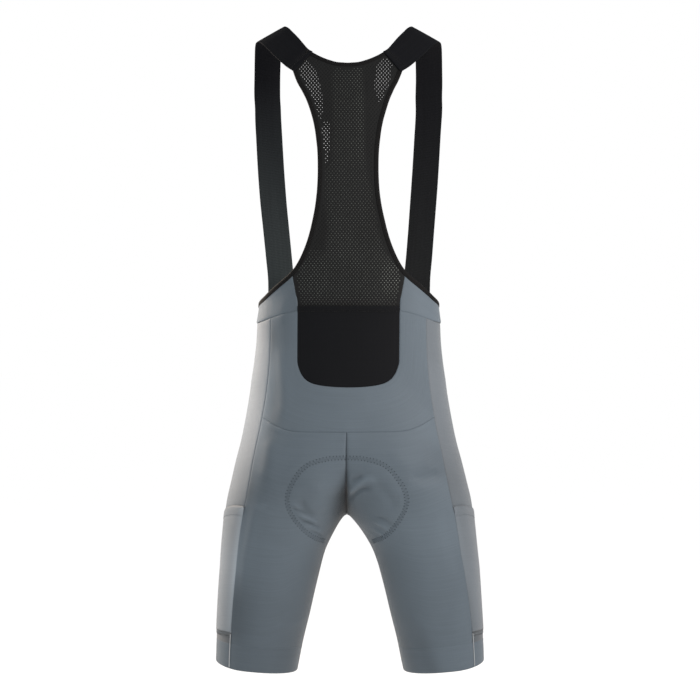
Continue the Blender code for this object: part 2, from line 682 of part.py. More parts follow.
    dense, s = mid_line(0)
    stations = [r[0] for r in PAD_LINE]
    shares = np.array([0, 0.24, 0.48, 0.74, 1.0])
    out_rows, in_rows = [], []
    for d in stations:
        c = np.array([np.interp(d, s, dense[:, k]) for k in range(3)])
        c2 = np.array([np.interp(d + 1, s, dense[:, k]) for k in range(3)])
        along = unit(c2 - c)
        along[0] = 0
        wide = float(curve(PAD_LINE, d))
        line, p, walk = [c], c.copy(), 0.0
        step = 1.0
        marks = [wide * q for q in shares[1:]]
        got = []
        while len(got) < len(marks):
            g = normal(p)
            g = g - along * np.dot(g, along)
            tdir = np.cross(g, along)
            tdir = unit(tdir)
            if tdir[0] < 0 and walk == 0:
                tdir = -tdir
            if walk > 0 and np.dot(tdir, last) < 0:
                tdir = -tdir
            last = tdir
            h = min(step, marks[len(got)] - walk)
            p = p + tdir * h
            for _ in range(4):
                g = normal(p)
                g = g - along * np.dot(g, along)
                p = p - g * float(field(p[0], p[1], p[2])) / np.dot(g, g)
            walk += h
            if walk >= marks[len(got)] - 1e-9:
                got.append(p.copy())
        line = np.array([c] + got)
        edge_near = min(d, stations[-1] - d) / 40.0
        thick = PAD_RIM + (PAD - PAD_RIM) * np.clip((1 - shares**2) * 1.6, 0, 1) * min(1.0, edge_near)
        nrm = unit(normal(line))
        clear = KNIT + 1.4 + 2.0 * np.clip((-655 - line[:, 2]) / 30, 0, 1)
        o = line - nrm * clear[:, None]
        i = line - nrm * (clear + thick)[:, None]
        o[0, 0] = i[0, 0] = 0
        mir = np.array([-1, 1, 1])
        out_rows.append(np.vstack([o[1:][::-1] * mir, o]))
        in_rows.append(np.vstack([i[1:][::-1] * mir, i]))
    shell("seat_pad", out_rows, in_rows, FOAM, 0.9)


build()
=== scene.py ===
"""Looks of the cycling bib shorts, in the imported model's own frame.

Frame: +X is the wearer's left, +Y the wearer's back, +Z up, origin between the
shoulders. Sizes below are in millimetres and become metres when a mesh is made.
The tables of the form and the seams are the ones the solids were made from.
"""
import json
import math

import bpy
import numpy as np
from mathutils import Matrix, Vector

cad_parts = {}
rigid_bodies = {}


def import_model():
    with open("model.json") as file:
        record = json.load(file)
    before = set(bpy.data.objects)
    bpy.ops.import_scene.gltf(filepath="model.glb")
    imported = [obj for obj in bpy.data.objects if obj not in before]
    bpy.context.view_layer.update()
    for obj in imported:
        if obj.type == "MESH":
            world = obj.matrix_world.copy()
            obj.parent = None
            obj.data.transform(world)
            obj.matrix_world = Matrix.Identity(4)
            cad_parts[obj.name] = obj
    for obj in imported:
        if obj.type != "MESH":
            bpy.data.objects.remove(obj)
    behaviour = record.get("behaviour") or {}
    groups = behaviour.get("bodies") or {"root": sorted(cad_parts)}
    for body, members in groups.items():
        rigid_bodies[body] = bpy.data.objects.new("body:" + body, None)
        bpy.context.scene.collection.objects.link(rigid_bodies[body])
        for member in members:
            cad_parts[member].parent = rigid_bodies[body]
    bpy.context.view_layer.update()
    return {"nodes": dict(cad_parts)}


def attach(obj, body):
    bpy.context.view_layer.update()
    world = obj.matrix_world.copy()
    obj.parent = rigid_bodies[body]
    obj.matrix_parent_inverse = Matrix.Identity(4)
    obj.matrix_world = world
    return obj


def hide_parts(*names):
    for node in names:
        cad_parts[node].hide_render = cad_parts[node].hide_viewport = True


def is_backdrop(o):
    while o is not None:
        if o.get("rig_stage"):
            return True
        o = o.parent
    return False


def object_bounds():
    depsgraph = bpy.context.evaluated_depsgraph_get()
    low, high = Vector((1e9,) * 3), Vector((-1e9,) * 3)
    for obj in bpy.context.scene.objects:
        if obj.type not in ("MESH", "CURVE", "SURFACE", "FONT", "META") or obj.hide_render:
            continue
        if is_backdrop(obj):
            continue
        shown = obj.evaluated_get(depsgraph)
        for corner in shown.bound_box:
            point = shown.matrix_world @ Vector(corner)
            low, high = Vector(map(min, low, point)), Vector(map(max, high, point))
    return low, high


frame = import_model()

# ------------------------------------------------------------------ sizes
KNIT, NET, WEB, BIND_W = 1.1, 0.9, 1.5, 6.5
HALF = -0.22  # two sewn edges lap by twice this, so that no light comes through a seam
LAP = 0.35
SPINE = 45.0

FORM = (
    # z, out, mid, back, front, nb, nf, soft
    (-30, 202, 0, 60, 60, 2.4, 2.6, 0.05),
    (-55, 196, 0, 76, 72, 2.4, 2.6, 0.05),
    (-80, 190, 0, 88, 84, 2.4, 2.6, 0.05),
    (-120, 180, 0, 99, 100, 2.4, 2.6, 0.05),
    (-180, 165, 0, 104, 113, 2.4, 2.7, 0.05),
    (-240, 152, 0, 101, 113, 2.4, 2.8, 0.05),
    (-300, 142, 0, 93, 107, 2.4, 3.0, 0.05),
    (-355, 136, 0, 86, 100, 2.4, 3.1, 0.05),
    (-399, 134.3, 0, 82, 95, 2.4, 3.1, 0.05),
    (-429, 136.6, 0, 82, 94, 2.4, 3.0, 0.05),
    (-459, 138.0, 0, 84, 94, 2.4, 2.9, 0.05),
    (-489, 141, 0, 88, 95, 2.4, 2.8, 0.05),
    (-519, 145.5, 0, 94, 96, 2.4, 2.7, 0.1),
    (-549, 150, 10, 101, 96, 2.35, 2.6, 2),
    (-579, 155, 27, 107.5, 95.5, 2.3, 2.5, 6),
    (-609, 161, 46, 112, 95, 2.25, 2.4, 11),
    (-639, 168.8, 61, 114, 94.5, 2.2, 2.3, 14),
    (-669, 176, 75, 112, 94, 2.2, 2.25, 14),
    (-699, 183, 89, 105.5, 93.5, 2.2, 2.2, 11),
    (-720, 186, 96.5, 99, 92.5, 2.2, 2.2, 10),
    (-744, 188.5, 104.5, 93, 90.5, 2.2, 2.2, 10),
    (-774, 191.2, 113.5, 87.5, 87.5, 2.2, 2.2, 10),
    (-819, 194.6, 121.6, 81.5, 82.5, 2.2, 2.2, 8),
    (-864, 197.4, 128.4, 76, 77.5, 2.2, 2.2, 8),
    (-909, 199.8, 135.2, 71.5, 72.5, 2.2, 2.2, 8),
    (-965, 201.4, 141.6, 67.5, 68.5, 2.2, 2.2, 8),
)
SIDE_SEAM = (
    # z, x
    (-400, 115.4), (-427, 115.2), (-479, 115.9), (-520, 118.9), (-575, 127),
    (-633, 139), (-686, 149), (-711, 154.1), (-759, 161.6), (-825, 169.1),
    (-879, 173.7), (-939, 176.8), (-965, 177.5),
)
ARMHOLE = (
    # x, z
    (80.0, -66.0), (74.3, -81), (66.8, -95.6), (60.3, -110.1), (55.4, -124.7),
    (51.3, -139.2), (48.3, -153.8), (46.4, -168.4), (44.9, -183), (44.3, -197.5),
    (44.2, -212), (44.6, -226.5), (45.5, -241), (47.2, -255.7), (49.6, -270.2),
    (52.8, -284.8), (56.3, -299.3), (60.7, -313.9), (66.3, -328.5), (73.0, -342.5),
    (80.6, -354.5), (90.0, -364.2),
)
WAIST_EDGE = (
    # angle round the pole in degrees, z
    (48.5, -373.0), (33, -387.5), (21.5, -396.5), (0, -404.5), (-32, -409),
    (-52, -412), (-80, -417), (-120, -420),
)
NECK = ((0, -53.2), (14, -52.2), (27, -48.6), (41.6, -42.2), (54.5, -34.5))  # x, z
STRAP_SEAM = ((54.5, -34.5), (80.0, -66.0))  # neck end, armhole end: x, z
YOKE_SEAM = ((75, -416.6), (82, -417.9), (100, -422.2), (115, -427), (128, -431.2), (138, -434))  # x, z
YOKE_INNER = ((-340, 85), (-366, 82.0), (-407, 75.6), (-440, 75.2))  # z, x
POCKET_SIDE = ((-380, 75), (-489, 74.7), (-505.4, 70.4), (-515, 64.2))  # z, x
POCKET_LOW = ((0, -528.3), (16, -527.9), (34, -526.4), (49, -523.6), (57.5, -520.2), (64.2, -515))  # x, z
POCKET_TOP = -409.5
HIP_SEAM = ((0, -593.4), (41, -593), (70, -592.6), (85, -591), (105, -584.5), (123.5, -574), (130, -570))  # x, z
CARGO_TOP = (-702.0, -714.0, -726.0)  # at the back seam, the side and the front seam
CARGO_LOW = -890.5
BAND_Z, HEM_Z, HEM_TILT, HEM_MID = -909.8, -947.6, 0.085, 140.0
STRAP = (
    # outer x, y, z, inner x, y, z
    (90.2, 67.5, -57.5, 58.8, 53.5, -29.4),
    (99.2, 58.0, -49.0, 65.6, 43.0, -20.6),
    (109.4, 44.5, -38.5, 74.3, 30.0, -9.0),
    (119.5, 30.0, -27.0, 83.2, 18.5, 1.2),
    (129.0, 15.0, -16.5, 89.9, 9.0, 8.5),
    (136.0, 0.0, -11.2, 95.6, -1.0, 11.7),
    (139.4, -11.0, -11.9, 98.4, -12.0, 10.8),
    (141.3, -24.0, -18.0, 100.6, -27.0, 4.0),
    (142.3, -37.0, -30.5, 102.0, -42.5, -10.0),
    (143.1, -49.0, -49.0, 103.2, -56.5, -32.0),
    (143.8, -60.0, -76.0, 104.2, -70.5, -66.0),
    (143.5, -70.0, -110.0, 104.0, -84.0, -106.0),
    (141.7, -78.0, -150.0, 102.1, -95.0, -149.0),
    (139.4, -83.0, -195.0, 99.6, -102.0, -195.0),
    (136.2, -84.0, -241.0, 96.4, -104.0, -241.0),
    (131.9, -80.5, -287.0, 92.6, -101.8, -287.0),
    (127.8, -74.5, -331.0, 88.6, -97.2, -331.0),
    (124.2, -67.5, -371.0, 85.0, -92.2, -371.0),
)
STRAP_END = (122.0, 82.6)

# sewn outline of the seat pad as it shows outside: half, x and z, on the back and on the front
PAD_BACK = (
    (0, -630.1), (21, -630.9), (38, -634), (53, -639.4), (63.6, -647), (72.4, -657.4), (79.4, -668.5),
    (84.9, -680.5), (87.0, -692), (84.5, -704.5), (78.8, -716.8), (71.0, -728.6), (61, -740), (48.5, -750.5), (35, -757),
)
PAD_FRONT = ((34, -757), (45, -738), (50, -712), (50, -682), (46, -652), (37, -628), (22, -612), (0, -606))

# Creases of the worn cloth: face, the line of the crease as x and z, half width, height (a trough is
# below zero). The wearer's left is the left of the back view.
FOLDS = (
    # back, soft ridges beside the left side seam
    ("back", ((101, -462), (96, -505), (94, -548), (100, -590)), 11, 2.4),
    ("back", ((113, -598), (115, -628), (123, -668)), 12, 2.0),
    ("back", ((120, -578), (104, -588), (92, -591)), 3.2, 0.9),
    ("back", ((-121, -577), (-106, -587), (-94, -591)), 3.2, 0.7),
    # seat, right side
    ("back", ((-118, -600), (-122, -630), (-117, -655)), 15, 1.9),
    ("back", ((-88, -657), (-112, -660), (-138, -652)), 8, -3.0),
    ("back", ((-60, -618), (-84, -640), (-104, -676)), 12, 1.0),
    ("back", ((66, -612), (86, -640), (100, -684)), 13, -1.1),
    # either side of the middle crease
    ("back", ((-4, -686), (-15, -671), (-32, -661), (-48, -664)), 5.0, 2.2),
    ("back", ((-5, -700), (-12, -684), (-26, -675), (-40, -674)), 3.0, -2.2),
    ("back", ((-40, -668), (-56, -680), (-66, -696), (-68, -708)), 8, -1.8),
    ("back", ((-8, -664), (-14, -660), (-26, -656)), 3.0, -1.6),
    ("back", ((66, -688), (60, -704), (46, -718)), 5, -1.5),
    ("back", ((36, -664), (44, -688), (36, -714)), 13, 2.4),
    # short wrinkles that run to the crotch
    ("back", ((72, -712), (58, -719), (43, -728)), 2.7, 2.0),
    ("back", ((68, -721), (54, -727), (40, -736)), 2.4, -1.7),
    ("back", ((63, -729), (50, -734), (36, -745)), 2.6, 1.9),
    ("back", ((56, -738), (46, -742), (35, -752)), 2.3, -1.6),
    ("back", ((80, -703), (69, -707), (58, -714)), 2.6, -1.3),
    ("back", ((84, -694), (74, -700), (66, -708)), 3.0, 1.1),
    ("back", ((-40, -724), (-52, -730), (-62, -742)), 2.8, 1.6),
    ("back", ((-44, -715), (-57, -722), (-70, -732)), 2.7, -1.4),
    ("back", ((-36, -736), (-48, -743), (-56, -755)), 2.5, 1.3),
    # thighs
    ("back", ((133, -690), (142, -735), (153, -786), (160, -838)), 9, 1.9),
    ("back", ((118, -696), (127, -702), (137, -700)), 4, 0.8),
    ("back", ((98, -760), (112, -800), (118, -850)), 22, 1.3),
    ("back", ((140, -820), (150, -860), (152, -902)), 12, -1.0),
    ("back", ((-140, -700), (-146, -748), (-158, -800)), 10, -1.1),
    ("back", ((-104, -770), (-116, -820), (-120, -880)), 18, 1.2),
    ("back", ((-150, -842), (-140, -868), (-124, -884)), 9, -0.9),
    ("back", ((-86, -862), (-104, -880), (-122, -904)), 10, 0.7),
    ("back", ((62, -872), (92, -880), (120, -876)), 6, 0.5),
    # waist and hips on the back
    ("back", ((88, -396), (97, -412), (98, -440)), 8, 0.9),
    ("back", ((-84, -440), (-92, -480), (-90, -530)), 13, 0.8),
    ("back", ((30, -548), (0, -553), (-40, -549)), 12, 0.7),
    ("back", ((12, -575), (-4, -600), (-8, -625)), 10, 0.5),
    # front, like the back: unseen in the picture
    ("front", ((22, -640), (42, -655), (64, -662)), 5, 1.2),
    ("front", ((-20, -646), (-44, -660), (-70, -664)), 5.5, 1.1),
    ("front", ((26, -672), (50, -690), (76, -696)), 4.5, -1.1),
    ("front", ((-24, -680), (-46, -694), (-68, -703)), 4, -0.9),
    ("front", ((30, -716), (52, -728), (80, -733)), 4, 0.9),
    ("front", ((-30, -722), (-56, -734), (-78, -745)), 4.5, 0.9),
    ("front", ((116, -560), (98, -600), (72, -640)), 13, 1.8),
    ("front", ((-120, -552), (-100, -596), (-78, -632)), 14, 1.6),
    ("front", ((134, -700), (128, -760), (140, -830)), 14, 1.4),
    ("front", ((-130, -710), (-126, -775), (-142, -850)), 15, 1.3),
    ("front", ((92, -790), (108, -830), (114, -880)), 12, -1.0),
    ("front", ((-96, -800), (-112, -848), (-110, -892)), 13, -1.0),
    ("front", ((60, -470), (30, -486), (-26, -484)), 10, 0.9),
    ("front", ((-88, -468), (-60, -500), (-20, -512)), 9, -0.8),
    ("front", ((86, -500), (62, -532), (30, -545)), 10, 0.9),
)

# Places of the back net. Rows of a place: z, from x, to x, amount. In a "lit" place the holes are closed by a backing
# painted paler, as painted light seen through them; in an "open" place they go right through; the amount is how
# strongly.
NET_PLACES = (
    # name, kind, softness in mm, rows
    ("middle", "lit", 5.0, (
        (-57, 18, -20, 0.7), (-72, 22, -23, 1.2), (-120, 22, -23, 1.05), (-200, 23, -24, 0.9), (-212, 34, -28, 0.8), (-250, 34, -37, 0.85),
        (-300, 31, -43, 1.0), (-334, 36, -54, 1.15), (-346, 60, -66, 1.15), (-356, 76, -80, 1.1), (-388, 80, -82, 1.1),
        (-404, 80, -82, 0.95), (-412, 80, -82, 0.8))),
    ("middle_column", "lit", 5.0, ((-66, -9, -22, 1.3), (-90, -9, -23, 1.7), (-190, -10, -24, 1.4), (-214, -12, -27, 0.8))),
    ("shoulder_left", "open", 4.0, (
        (-44, 60, 70, 0.4), (-58, 54, 72, 0.9), (-72, 44, 70, 1.0), (-87, 41, 64, 1.0), (-102, 39, 55, 0.95),
        (-116, 38.5, 48, 0.8), (-132, 38, 44, 0.5), (-146, 38, 41, 0.0))),
    ("shoulder_right", "open", 4.0, (
        (-44, -52, -64, 0.4), (-58, -44, -64, 0.95), (-73, -42, -62, 1.05), (-87, -41, -59, 1.0), (-100, -41.5, -53, 0.7),
        (-112, -44, -49, 0.35), (-122, -45, -47, 0.0))),
    ("waist_left", "open", 3.5, (
        (-144, 37, 27, 0.3), (-156, 38, 27, 0.95), (-182, 38, 28, 0.9), (-196, 38, 29, 0.5), (-212, 38, 31, 0.0))),
    ("corner_left", "lit", 8.0, (
        (-334, 34, 62, 0.9), (-348, 28, 72, 1.55), (-370, 25, 76, 1.6), (-386, 28, 76, 1.4), (-402, 34, 74, 1.0))),
    ("corner_right", "lit", 6.0, (
        (-342, -50, -68, 1.2), (-354, -46, -76, 2.2), (-378, -46, -78, 2.5), (-388, -50, -78, 1.8), (-400, -56, -76, 1.0))),
)

# Small unevenness of the worn garment, in mm sideways: z, at the sides, at the middle
LEAN = (
    # z, side, middle
    (15, 0.4, 1.0), (-30, 0.4, 1.2), (-60, 0.4, 1.6), (-85, 0.7, 1.9), (-105, 0.0, 1.2), (-130, 0.5, 0.7), (-195, 0.7, 0.7),
    (-240, 0.6, 0.6), (-290, 0.0, 0.0), (-330, -0.6, -0.2), (-371, -0.9, 0.0), (-400, -0.5, 0.0), (-440, 0.0, 0.3),
    (-560, 0.0, 1.5), (-592, 0.0, 3.4), (-630, 0.0, 4.0), (-665, -0.2, 3.6), (-700, -0.3, 3.4), (-722, -0.3, 2.6),
    (-748, -0.5, 0.3), (-775, -1.0, -1.0), (-800, -1.7, -1.8), (-850, -1.6, -2.1), (-910, -1.7, -2.6), (-965, -2.0, -2.8),
)


# ----------------------------------------------------------------- curves
def curve(rows, x, key=0, val=1):
    """Value of a table at x: a smooth curve through its rows that never overshoots."""
    rows = sorted((r[key], r[val]) for r in rows)
    px = np.array([r[0] for r in rows], float)
    py = np.array([r[1] for r in rows], float)
    h = np.diff(px)
    d = np.diff(py) / h
    m = np.zeros_like(px)
    m[0], m[-1] = d[0], d[-1]
    for k in range(1, len(px) - 1):
        if d[k - 1] * d[k] > 0:
            w1, w2 = 2 * h[k] + h[k - 1], h[k] + 2 * h[k - 1]
            m[k] = (w1 + w2) / (w1 / d[k - 1] + w2 / d[k])
    x = np.clip(np.asarray(x, float), px[0], px[-1])
    k = np.clip(np.searchsorted(px, x) - 1, 0, len(h) - 1)
    t = (x - px[k]) / h[k]
    return (
        (1 + 2 * t) * (1 - t) ** 2 * py[k] + t * (1 - t) ** 2 * h[k] * m[k]
        + t * t * (3 - 2 * t) * py[k + 1] + t * t * (t - 1) * h[k] * m[k + 1]
    )


def form(z):
    return [curve(FORM, z, 0, c) for c in range(1, 8)]


def field_with(f, x, y):
    out, mid, back, front, nb, nf, soft = f
    a = out - mid
    deep = np.where(y > 0, back, front)
    n = np.where(y > 0, nb, nf)

    def one(cx):
        r = ((np.abs(x - cx) / a) ** n + (np.abs(y) / deep) ** n) ** (1 / n)
        return (r - 1) * (a + deep) / 2

    f1, f2 = one(mid), one(-mid)
    low, gap = np.minimum(f1, f2), np.abs(f1 - f2)
    return low - soft * np.log1p(np.exp(-gap / soft)) + soft * math.log(2) * np.exp(-mid / 6)


def field(x, y, z):
    """Below zero inside the form, above zero outside it."""
    return field_with(form(z), x, y)


def pole(z):
    return np.sqrt(curve(FORM, z, 0, 2) ** 2 + SPINE**2)


def at_angle(th, z):
    """Point of the form where a level ray from the pole at angle th leaves it."""
    th, z = np.broadcast_arrays(np.asarray(th, float), np.asarray(z, float))
    f, cx, ct, st = form(z), pole(z), np.cos(th), np.sin(th)
    lo, hi = np.zeros_like(z), np.where(ct < -1e-6, np.minimum(260.0, cx / np.maximum(-ct, 1e-6)), 260.0)
    for _ in range(34):
        m = (lo + hi) / 2
        inside = field_with(f, cx + m * ct, m * st) < 0
        lo, hi = np.where(inside, m, lo), np.where(inside, hi, m)
    return np.stack([cx + lo * ct, lo * st, z + 0 * lo], -1)


def at_xz(x, z, side=1):
    """Point of the back (side 1) or front (side -1) of the form at x and z."""
    x, z = np.broadcast_arrays(np.asarray(x, float), np.asarray(z, float))
    f = form(z)
    lo, hi = np.zeros_like(z), np.full_like(z, 200.0)
    for _ in range(34):
        m = (lo + hi) / 2
        inside = field_with(f, x, side * m) < 0
        lo, hi = np.where(inside, m, lo), np.where(inside, hi, m)
    return np.stack([x + 0 * z, side * lo, z + 0 * lo], -1)


def unit(v):
    return v / np.maximum(np.linalg.norm(v, axis=-1, keepdims=True), 1e-12)


def normal(p):
    """Square to the form at p, on either side of the middle."""
    e = 0.05
    x, y, z = np.abs(p[..., 0]), p[..., 1], p[..., 2]
    f = form(z)
    g = np.stack([
        field_with(f, x + e, y) - field_with(f, x - e, y),
        field_with(f, x, y + e) - field_with(f, x, y - e),
        field(x, y, z + e) - field(x, y, z - e),
    ], -1) / (2 * e)
    g[..., 0] = g[..., 0] * np.sign(p[..., 0])
    return g


def settle(p):
    """Nearest point of the form to p."""
    for _ in range(8):
        g = normal(p)
        p = p - g * (field(np.abs(p[..., 0]), p[..., 1], p[..., 2]) / (g * g).sum(-1))[..., None]
    return p


def crotch_z():
    lo, hi = -760.0, -680.0
    for _ in range(50):
        m = (lo + hi) / 2
        if field(np.array(0.0), np.array(0.0), np.array(m)) < 0:
            hi = m
        else:
            lo = m
    return hi


CROTCH = crotch_z()


def angle_of(x, z, side):
    p = at_xz(x, z, side)
    return np.arctan2(p[..., 1], p[..., 0] - pole(z))


def middle_angle(z, side):
    """Angle of the middle plane's seam above the crotch and of the inseam below it."""
    z = np.asarray(z, float)
    th = angle_of(np.full_like(z, HALF), z, side)
    out, mid = curve(FORM, z, 0, 1), curve(FORM, z, 0, 2)
    stop = math.pi - HALF / np.maximum(pole(z) - np.maximum(2 * mid - out, 0), 30)
    return side * np.minimum(np.abs(th), stop)


def seam_angle(z, side, shift=0.0):
    return angle_of(curve(SIDE_SEAM, z) - shift, z, side)


def solve_z(theta_at, z_of, z0):
    z = np.array(z0, float)
    for _ in range(12):
        z = z_of(at_angle(theta_at(z), z))
    return z


def band_line(base):
    return lambda p: base + HEM_TILT * (p[..., 0] - HEM_MID)


def yoke_low(p):
    return np.where(p[..., 1] > 0, curve(YOKE_SEAM, p[..., 0]), YOKE_SEAM[-1][1])


def hip_line(p):
    return curve(HIP_SEAM, p[..., 0])


def cargo_top(p):
    turn = p[..., 1] / np.interp(p[..., 2], (-740, -690), (62, 62))
    return np.interp(turn, (-1, 0, 1), (CARGO_TOP[2], CARGO_TOP[1], CARGO_TOP[0]))


def level(z):
    return lambda p: np.full(p.shape[:-1], float(z))


def shifted(line, d):
    return lambda p: line(p) + d


# ------------------------------------------------------------------ grids
NEAR = (0, 0.35, 0.8, 1.5, 2.6, 4.2)  # lines of points beside a sewn edge, mm from it
COARSE = 1.0


def shares(width, step, lead=True, tail=True, power=1.0):
    """Places from 0 to 1 across a width: even steps, with closer ones beside the sewn edges."""
    a = list(np.array(NEAR) / width) if lead else [0.0]
    b = [1 - v for v in a[::-1]] if tail and lead else ([1 - v / width for v in NEAR[::-1]] if tail else [1.0])
    n = max(2, int(round((b[0] - a[-1]) * width / (step * COARSE))))
    t = np.linspace(0, 1, n + 1)
    t = 1 - (1 - t) ** power if power >= 1 else t ** (1 / power)
    return np.array(a[:-1] + list(a[-1] + (b[0] - a[-1]) * t) + b[1:])


def panel(theta_a, theta_b, bands, cols):
    """Points of a panel: columns share the angle between the seams, rows run between the lines of bands."""
    cols = np.array(cols, float)

    def theta_at(z):
        a, b = theta_a(z), theta_b(z)
        return a + (b - a) * cols

    lines = [solve_z(theta_at, line, np.full(cols.shape, float(start))) for line, start, _ in bands]
    rows = [lines[0]]
    for k in range(1, len(lines)):
        for t in bands[k][2][1:]:
            rows.append(lines[k - 1] + (lines[k] - lines[k - 1]) * t)
    z = np.array(rows)
    return at_angle(theta_at(z), z)


def mirrored(g):
    return g * np.array([-1.0, 1, 1])


def lengths(g, axis, ring=False):
    """Distance along the rows (axis 1) or down the columns (axis 0) from the first one."""
    d = np.linalg.norm(np.diff(g, axis=axis), axis=-1)
    s = np.zeros(g.shape[:2])
    if axis == 0:
        s[1:] = np.cumsum(d, axis=0)
    else:
        s[:, 1:] = np.cumsum(d, axis=1)
    return s


def rolled(g, left=0.0, right=0.0, top=0.0, low=0.0, reach=0.95):
    """How far the cloth dips at its sewn edges, in mm below zero."""
    across, down = lengths(g, 1), lengths(g, 0)
    total = 0
    for depth, d in (
        (left, across), (right, across[:, -1:] - across), (top, down), (low, down[-1:] - down),
    ):
        total = np.minimum(total, -np.asarray(depth) * np.exp(-d / reach))
    return total


# ----------------------------------------------------------------- relief
def dense_line(pts, step=2.0):
    pts = np.array(pts, float)
    s = np.concatenate([[0], np.cumsum(np.linalg.norm(np.diff(pts, axis=0), axis=1))])
    t = np.linspace(0, s[-1], max(3, int(s[-1] / step)))
    cols = [curve(list(zip(s, pts[:, k])), t) for k in range(pts.shape[1])]
    return np.stack(cols, -1), t / s[-1]


def line_on_form(face, pts, step=2.0):
    line, t = dense_line(pts, step)
    p = at_xz(np.abs(line[:, 0]), line[:, 1], 1 if face == "back" else -1)
    p[:, 0] = np.copysign(p[:, 0], line[:, 0])
    return p, t


FOLD_LINES = [(line_on_form(face, pts), wide, tall) for face, pts, wide, tall in FOLDS]


def near_line(p, line):
    """Distance of every point to the nearest point of a line, and which one that is."""
    best, which = np.full(p.shape[0], 1e9), np.zeros(p.shape[0], int)
    for k in range(0, len(line), 32):
        d = np.linalg.norm(p[:, None] - line[None, k:k + 32], axis=-1)
        i = d.argmin(1)
        v = d[np.arange(len(p)), i]
        take = v < best
        best, which = np.where(take, v, best), np.where(take, i + k, which)
    return best, which


def pad_outline():
    back = line_on_form("back", PAD_BACK, 1.5)[0]
    front = line_on_form("front", PAD_FRONT, 1.5)[0]
    return back, front


PAD_B, PAD_F = pad_outline()


def inside_pad(p):
    """True for points of the form inside the sewn outline of the pad."""
    x = np.abs(p[:, 0])
    wide_b = curve([(r[1], r[0]) for r in PAD_BACK], p[:, 2])
    wide_b = np.where(p[:, 2] > PAD_BACK[0][1], -1, wide_b)
    wide_f = np.interp(p[:, 2], [r[1] for r in PAD_FRONT], [r[0] for r in PAD_FRONT])
    wide_f = np.where(p[:, 2] > PAD_FRONT[-1][1], -1, wide_f)
    return np.where(p[:, 1] > 0, x < wide_b, x < wide_f) & (-757 < p[:, 2])


def relief(g):
    """Creases and the pad's print on the cloth: mm out of the form at every point of a grid."""
    p = g.reshape(-1, 3)
    out = np.zeros(len(p))
    for (line, t), wide, tall in FOLD_LINES:
        lo, hi = line.min(0) - 3 * wide, line.max(0) + 3 * wide
        near = np.all((p > lo) & (p < hi), axis=1)
        if not near.any():
            continue
        d, k = near_line(p[near], line)
        fade = np.clip(np.minimum(t[k], 1 - t[k]) * 4, 0, 1)
        fade = fade * fade * (3 - 2 * fade)
        out[near] += tall * np.exp(-((d / wide) ** 2)) * (0.12 + 0.88 * fade)
    seat = (p[:, 2] < -585) & (p[:, 2] > -775)
    if seat.any():
        q = p[seat]
        flat = np.abs(q) * np.array([1, 0, 0]) + q * np.array([0, 1, 1])
        d = np.minimum(near_line(flat, PAD_B)[0], near_line(flat, PAD_F)[0])
        inn = inside_pad(q)
        end = np.clip((q[:, 2] + 754) / 42, 0, 1)
        bulge = np.where(inn, 2.0 * (1 - np.exp(-((d / 11) ** 1.5))) * end * end * (3 - 2 * end), 0.0)
        out[seat] += bulge - 0.10 * np.exp(-((d / 2.5) ** 2))
    # slow unevenness of worn cloth
    out += 0.35 * np.sin(p[:, 2] / 37 + 1.3 * np.sin(p[:, 0] / 41)) * np.sin(p[:, 0] / 29 + p[:, 1] / 43 + 0.7)
    return out.reshape(g.shape[:2])


def crease(g):
    """Movement of the cloth into the middle crease of the seat: straight in, so that both halves stay together."""
    x, y, z = g[..., 0], g[..., 1], g[..., 2]
    depth = np.interp(-z, (598, 640, 664, 690, 712, 730), (0.2, 1.4, 6.0, 12.0, 10.5, 5.0))
    left = np.interp(-z, (600, 655, 690, 725), (3.5, 5.0, 12.0, 17.0))
    right = np.interp(-z, (600, 655, 690, 725), (3.0, 3.6, 5.0, 8.0))
    amount = depth * np.exp(-np.abs(x) / np.where(x > 0, left, right))
    turn = np.clip(y / 26, 0, 1)
    amount = amount * turn * turn * (3 - 2 * turn) * np.clip((-z - 594) / 8, 0, 1)
    n = unit(normal(g)) * np.array([0, 1, 1])
    return -n * amount[..., None]


def painted_hem_fold_shade(x, z):
    """Painted shade of a soft fold down the lower part of the right leg into its hem; the cloth itself is not moved."""
    off = (np.abs(x) - 98 - 0.36 * (-z - 879)) / 13
    return np.interp(-z, (845, 880, 905, 945), (0.0, 0.4, 1.0, 1.5)) * np.exp(-(off ** 2))


def painted_light_tone(g):
    """Tone of the back's knit, painted light and shade: painted highlights and shade in streaks beside the side seams,
    and over the broad of each leg.
    """
    x, y, z = g[..., 0], g[..., 1], g[..., 2]
    d = curve(SIDE_SEAM, z) - np.abs(x)
    near, off = np.exp(-((d / 10) ** 2)), np.exp(-(((d - 22) / 10) ** 2))
    wide = np.exp(-((np.maximum(d, 0) / 26) ** 2))
    left = (
        near * np.interp(-z, (430, 455, 485, 510, 545, 590, 625, 650, 680, 705, 740, 765, 795, 812), (-0.05, -0.22, 0.05, 0.30, 0.32, 0.30, 0.05, -0.05, -0.24, -0.14, 0.05, 0.12, 0.13, 0.0))
        + off * np.interp(-z, (440, 500, 575, 640, 680, 720), (-0.12, 0.0, -0.12, -0.12, -0.06, 0.0))
        + wide * np.interp(-z, (800, 840, 885, 915), (0.0, -0.22, -0.24, -0.08)))
    right = wide * np.interp(-z, (600, 625, 650, 670), (0.0, -0.15, -0.14, 0.0))
    # light and shade over the broad of each leg: the left one darker at the seat and low down, the right thigh paler
    away = np.clip((np.abs(x) - 30) / 25, 0, 1)
    seat_left = -0.09 * np.exp(-(((z + 675) / 28) ** 2))
    low_left = -0.11 * np.clip((-z - 785) / 65, 0, 1)
    thigh_right = 0.12 * np.exp(-(((z + 735) / 42) ** 2))
    left = left + away * (seat_left + low_left)
    right = right + away * thigh_right - 0.12 * painted_hem_fold_shade(x, z)
    return 1 + np.where(y > -10, np.where(x > 0, left, right), 0)


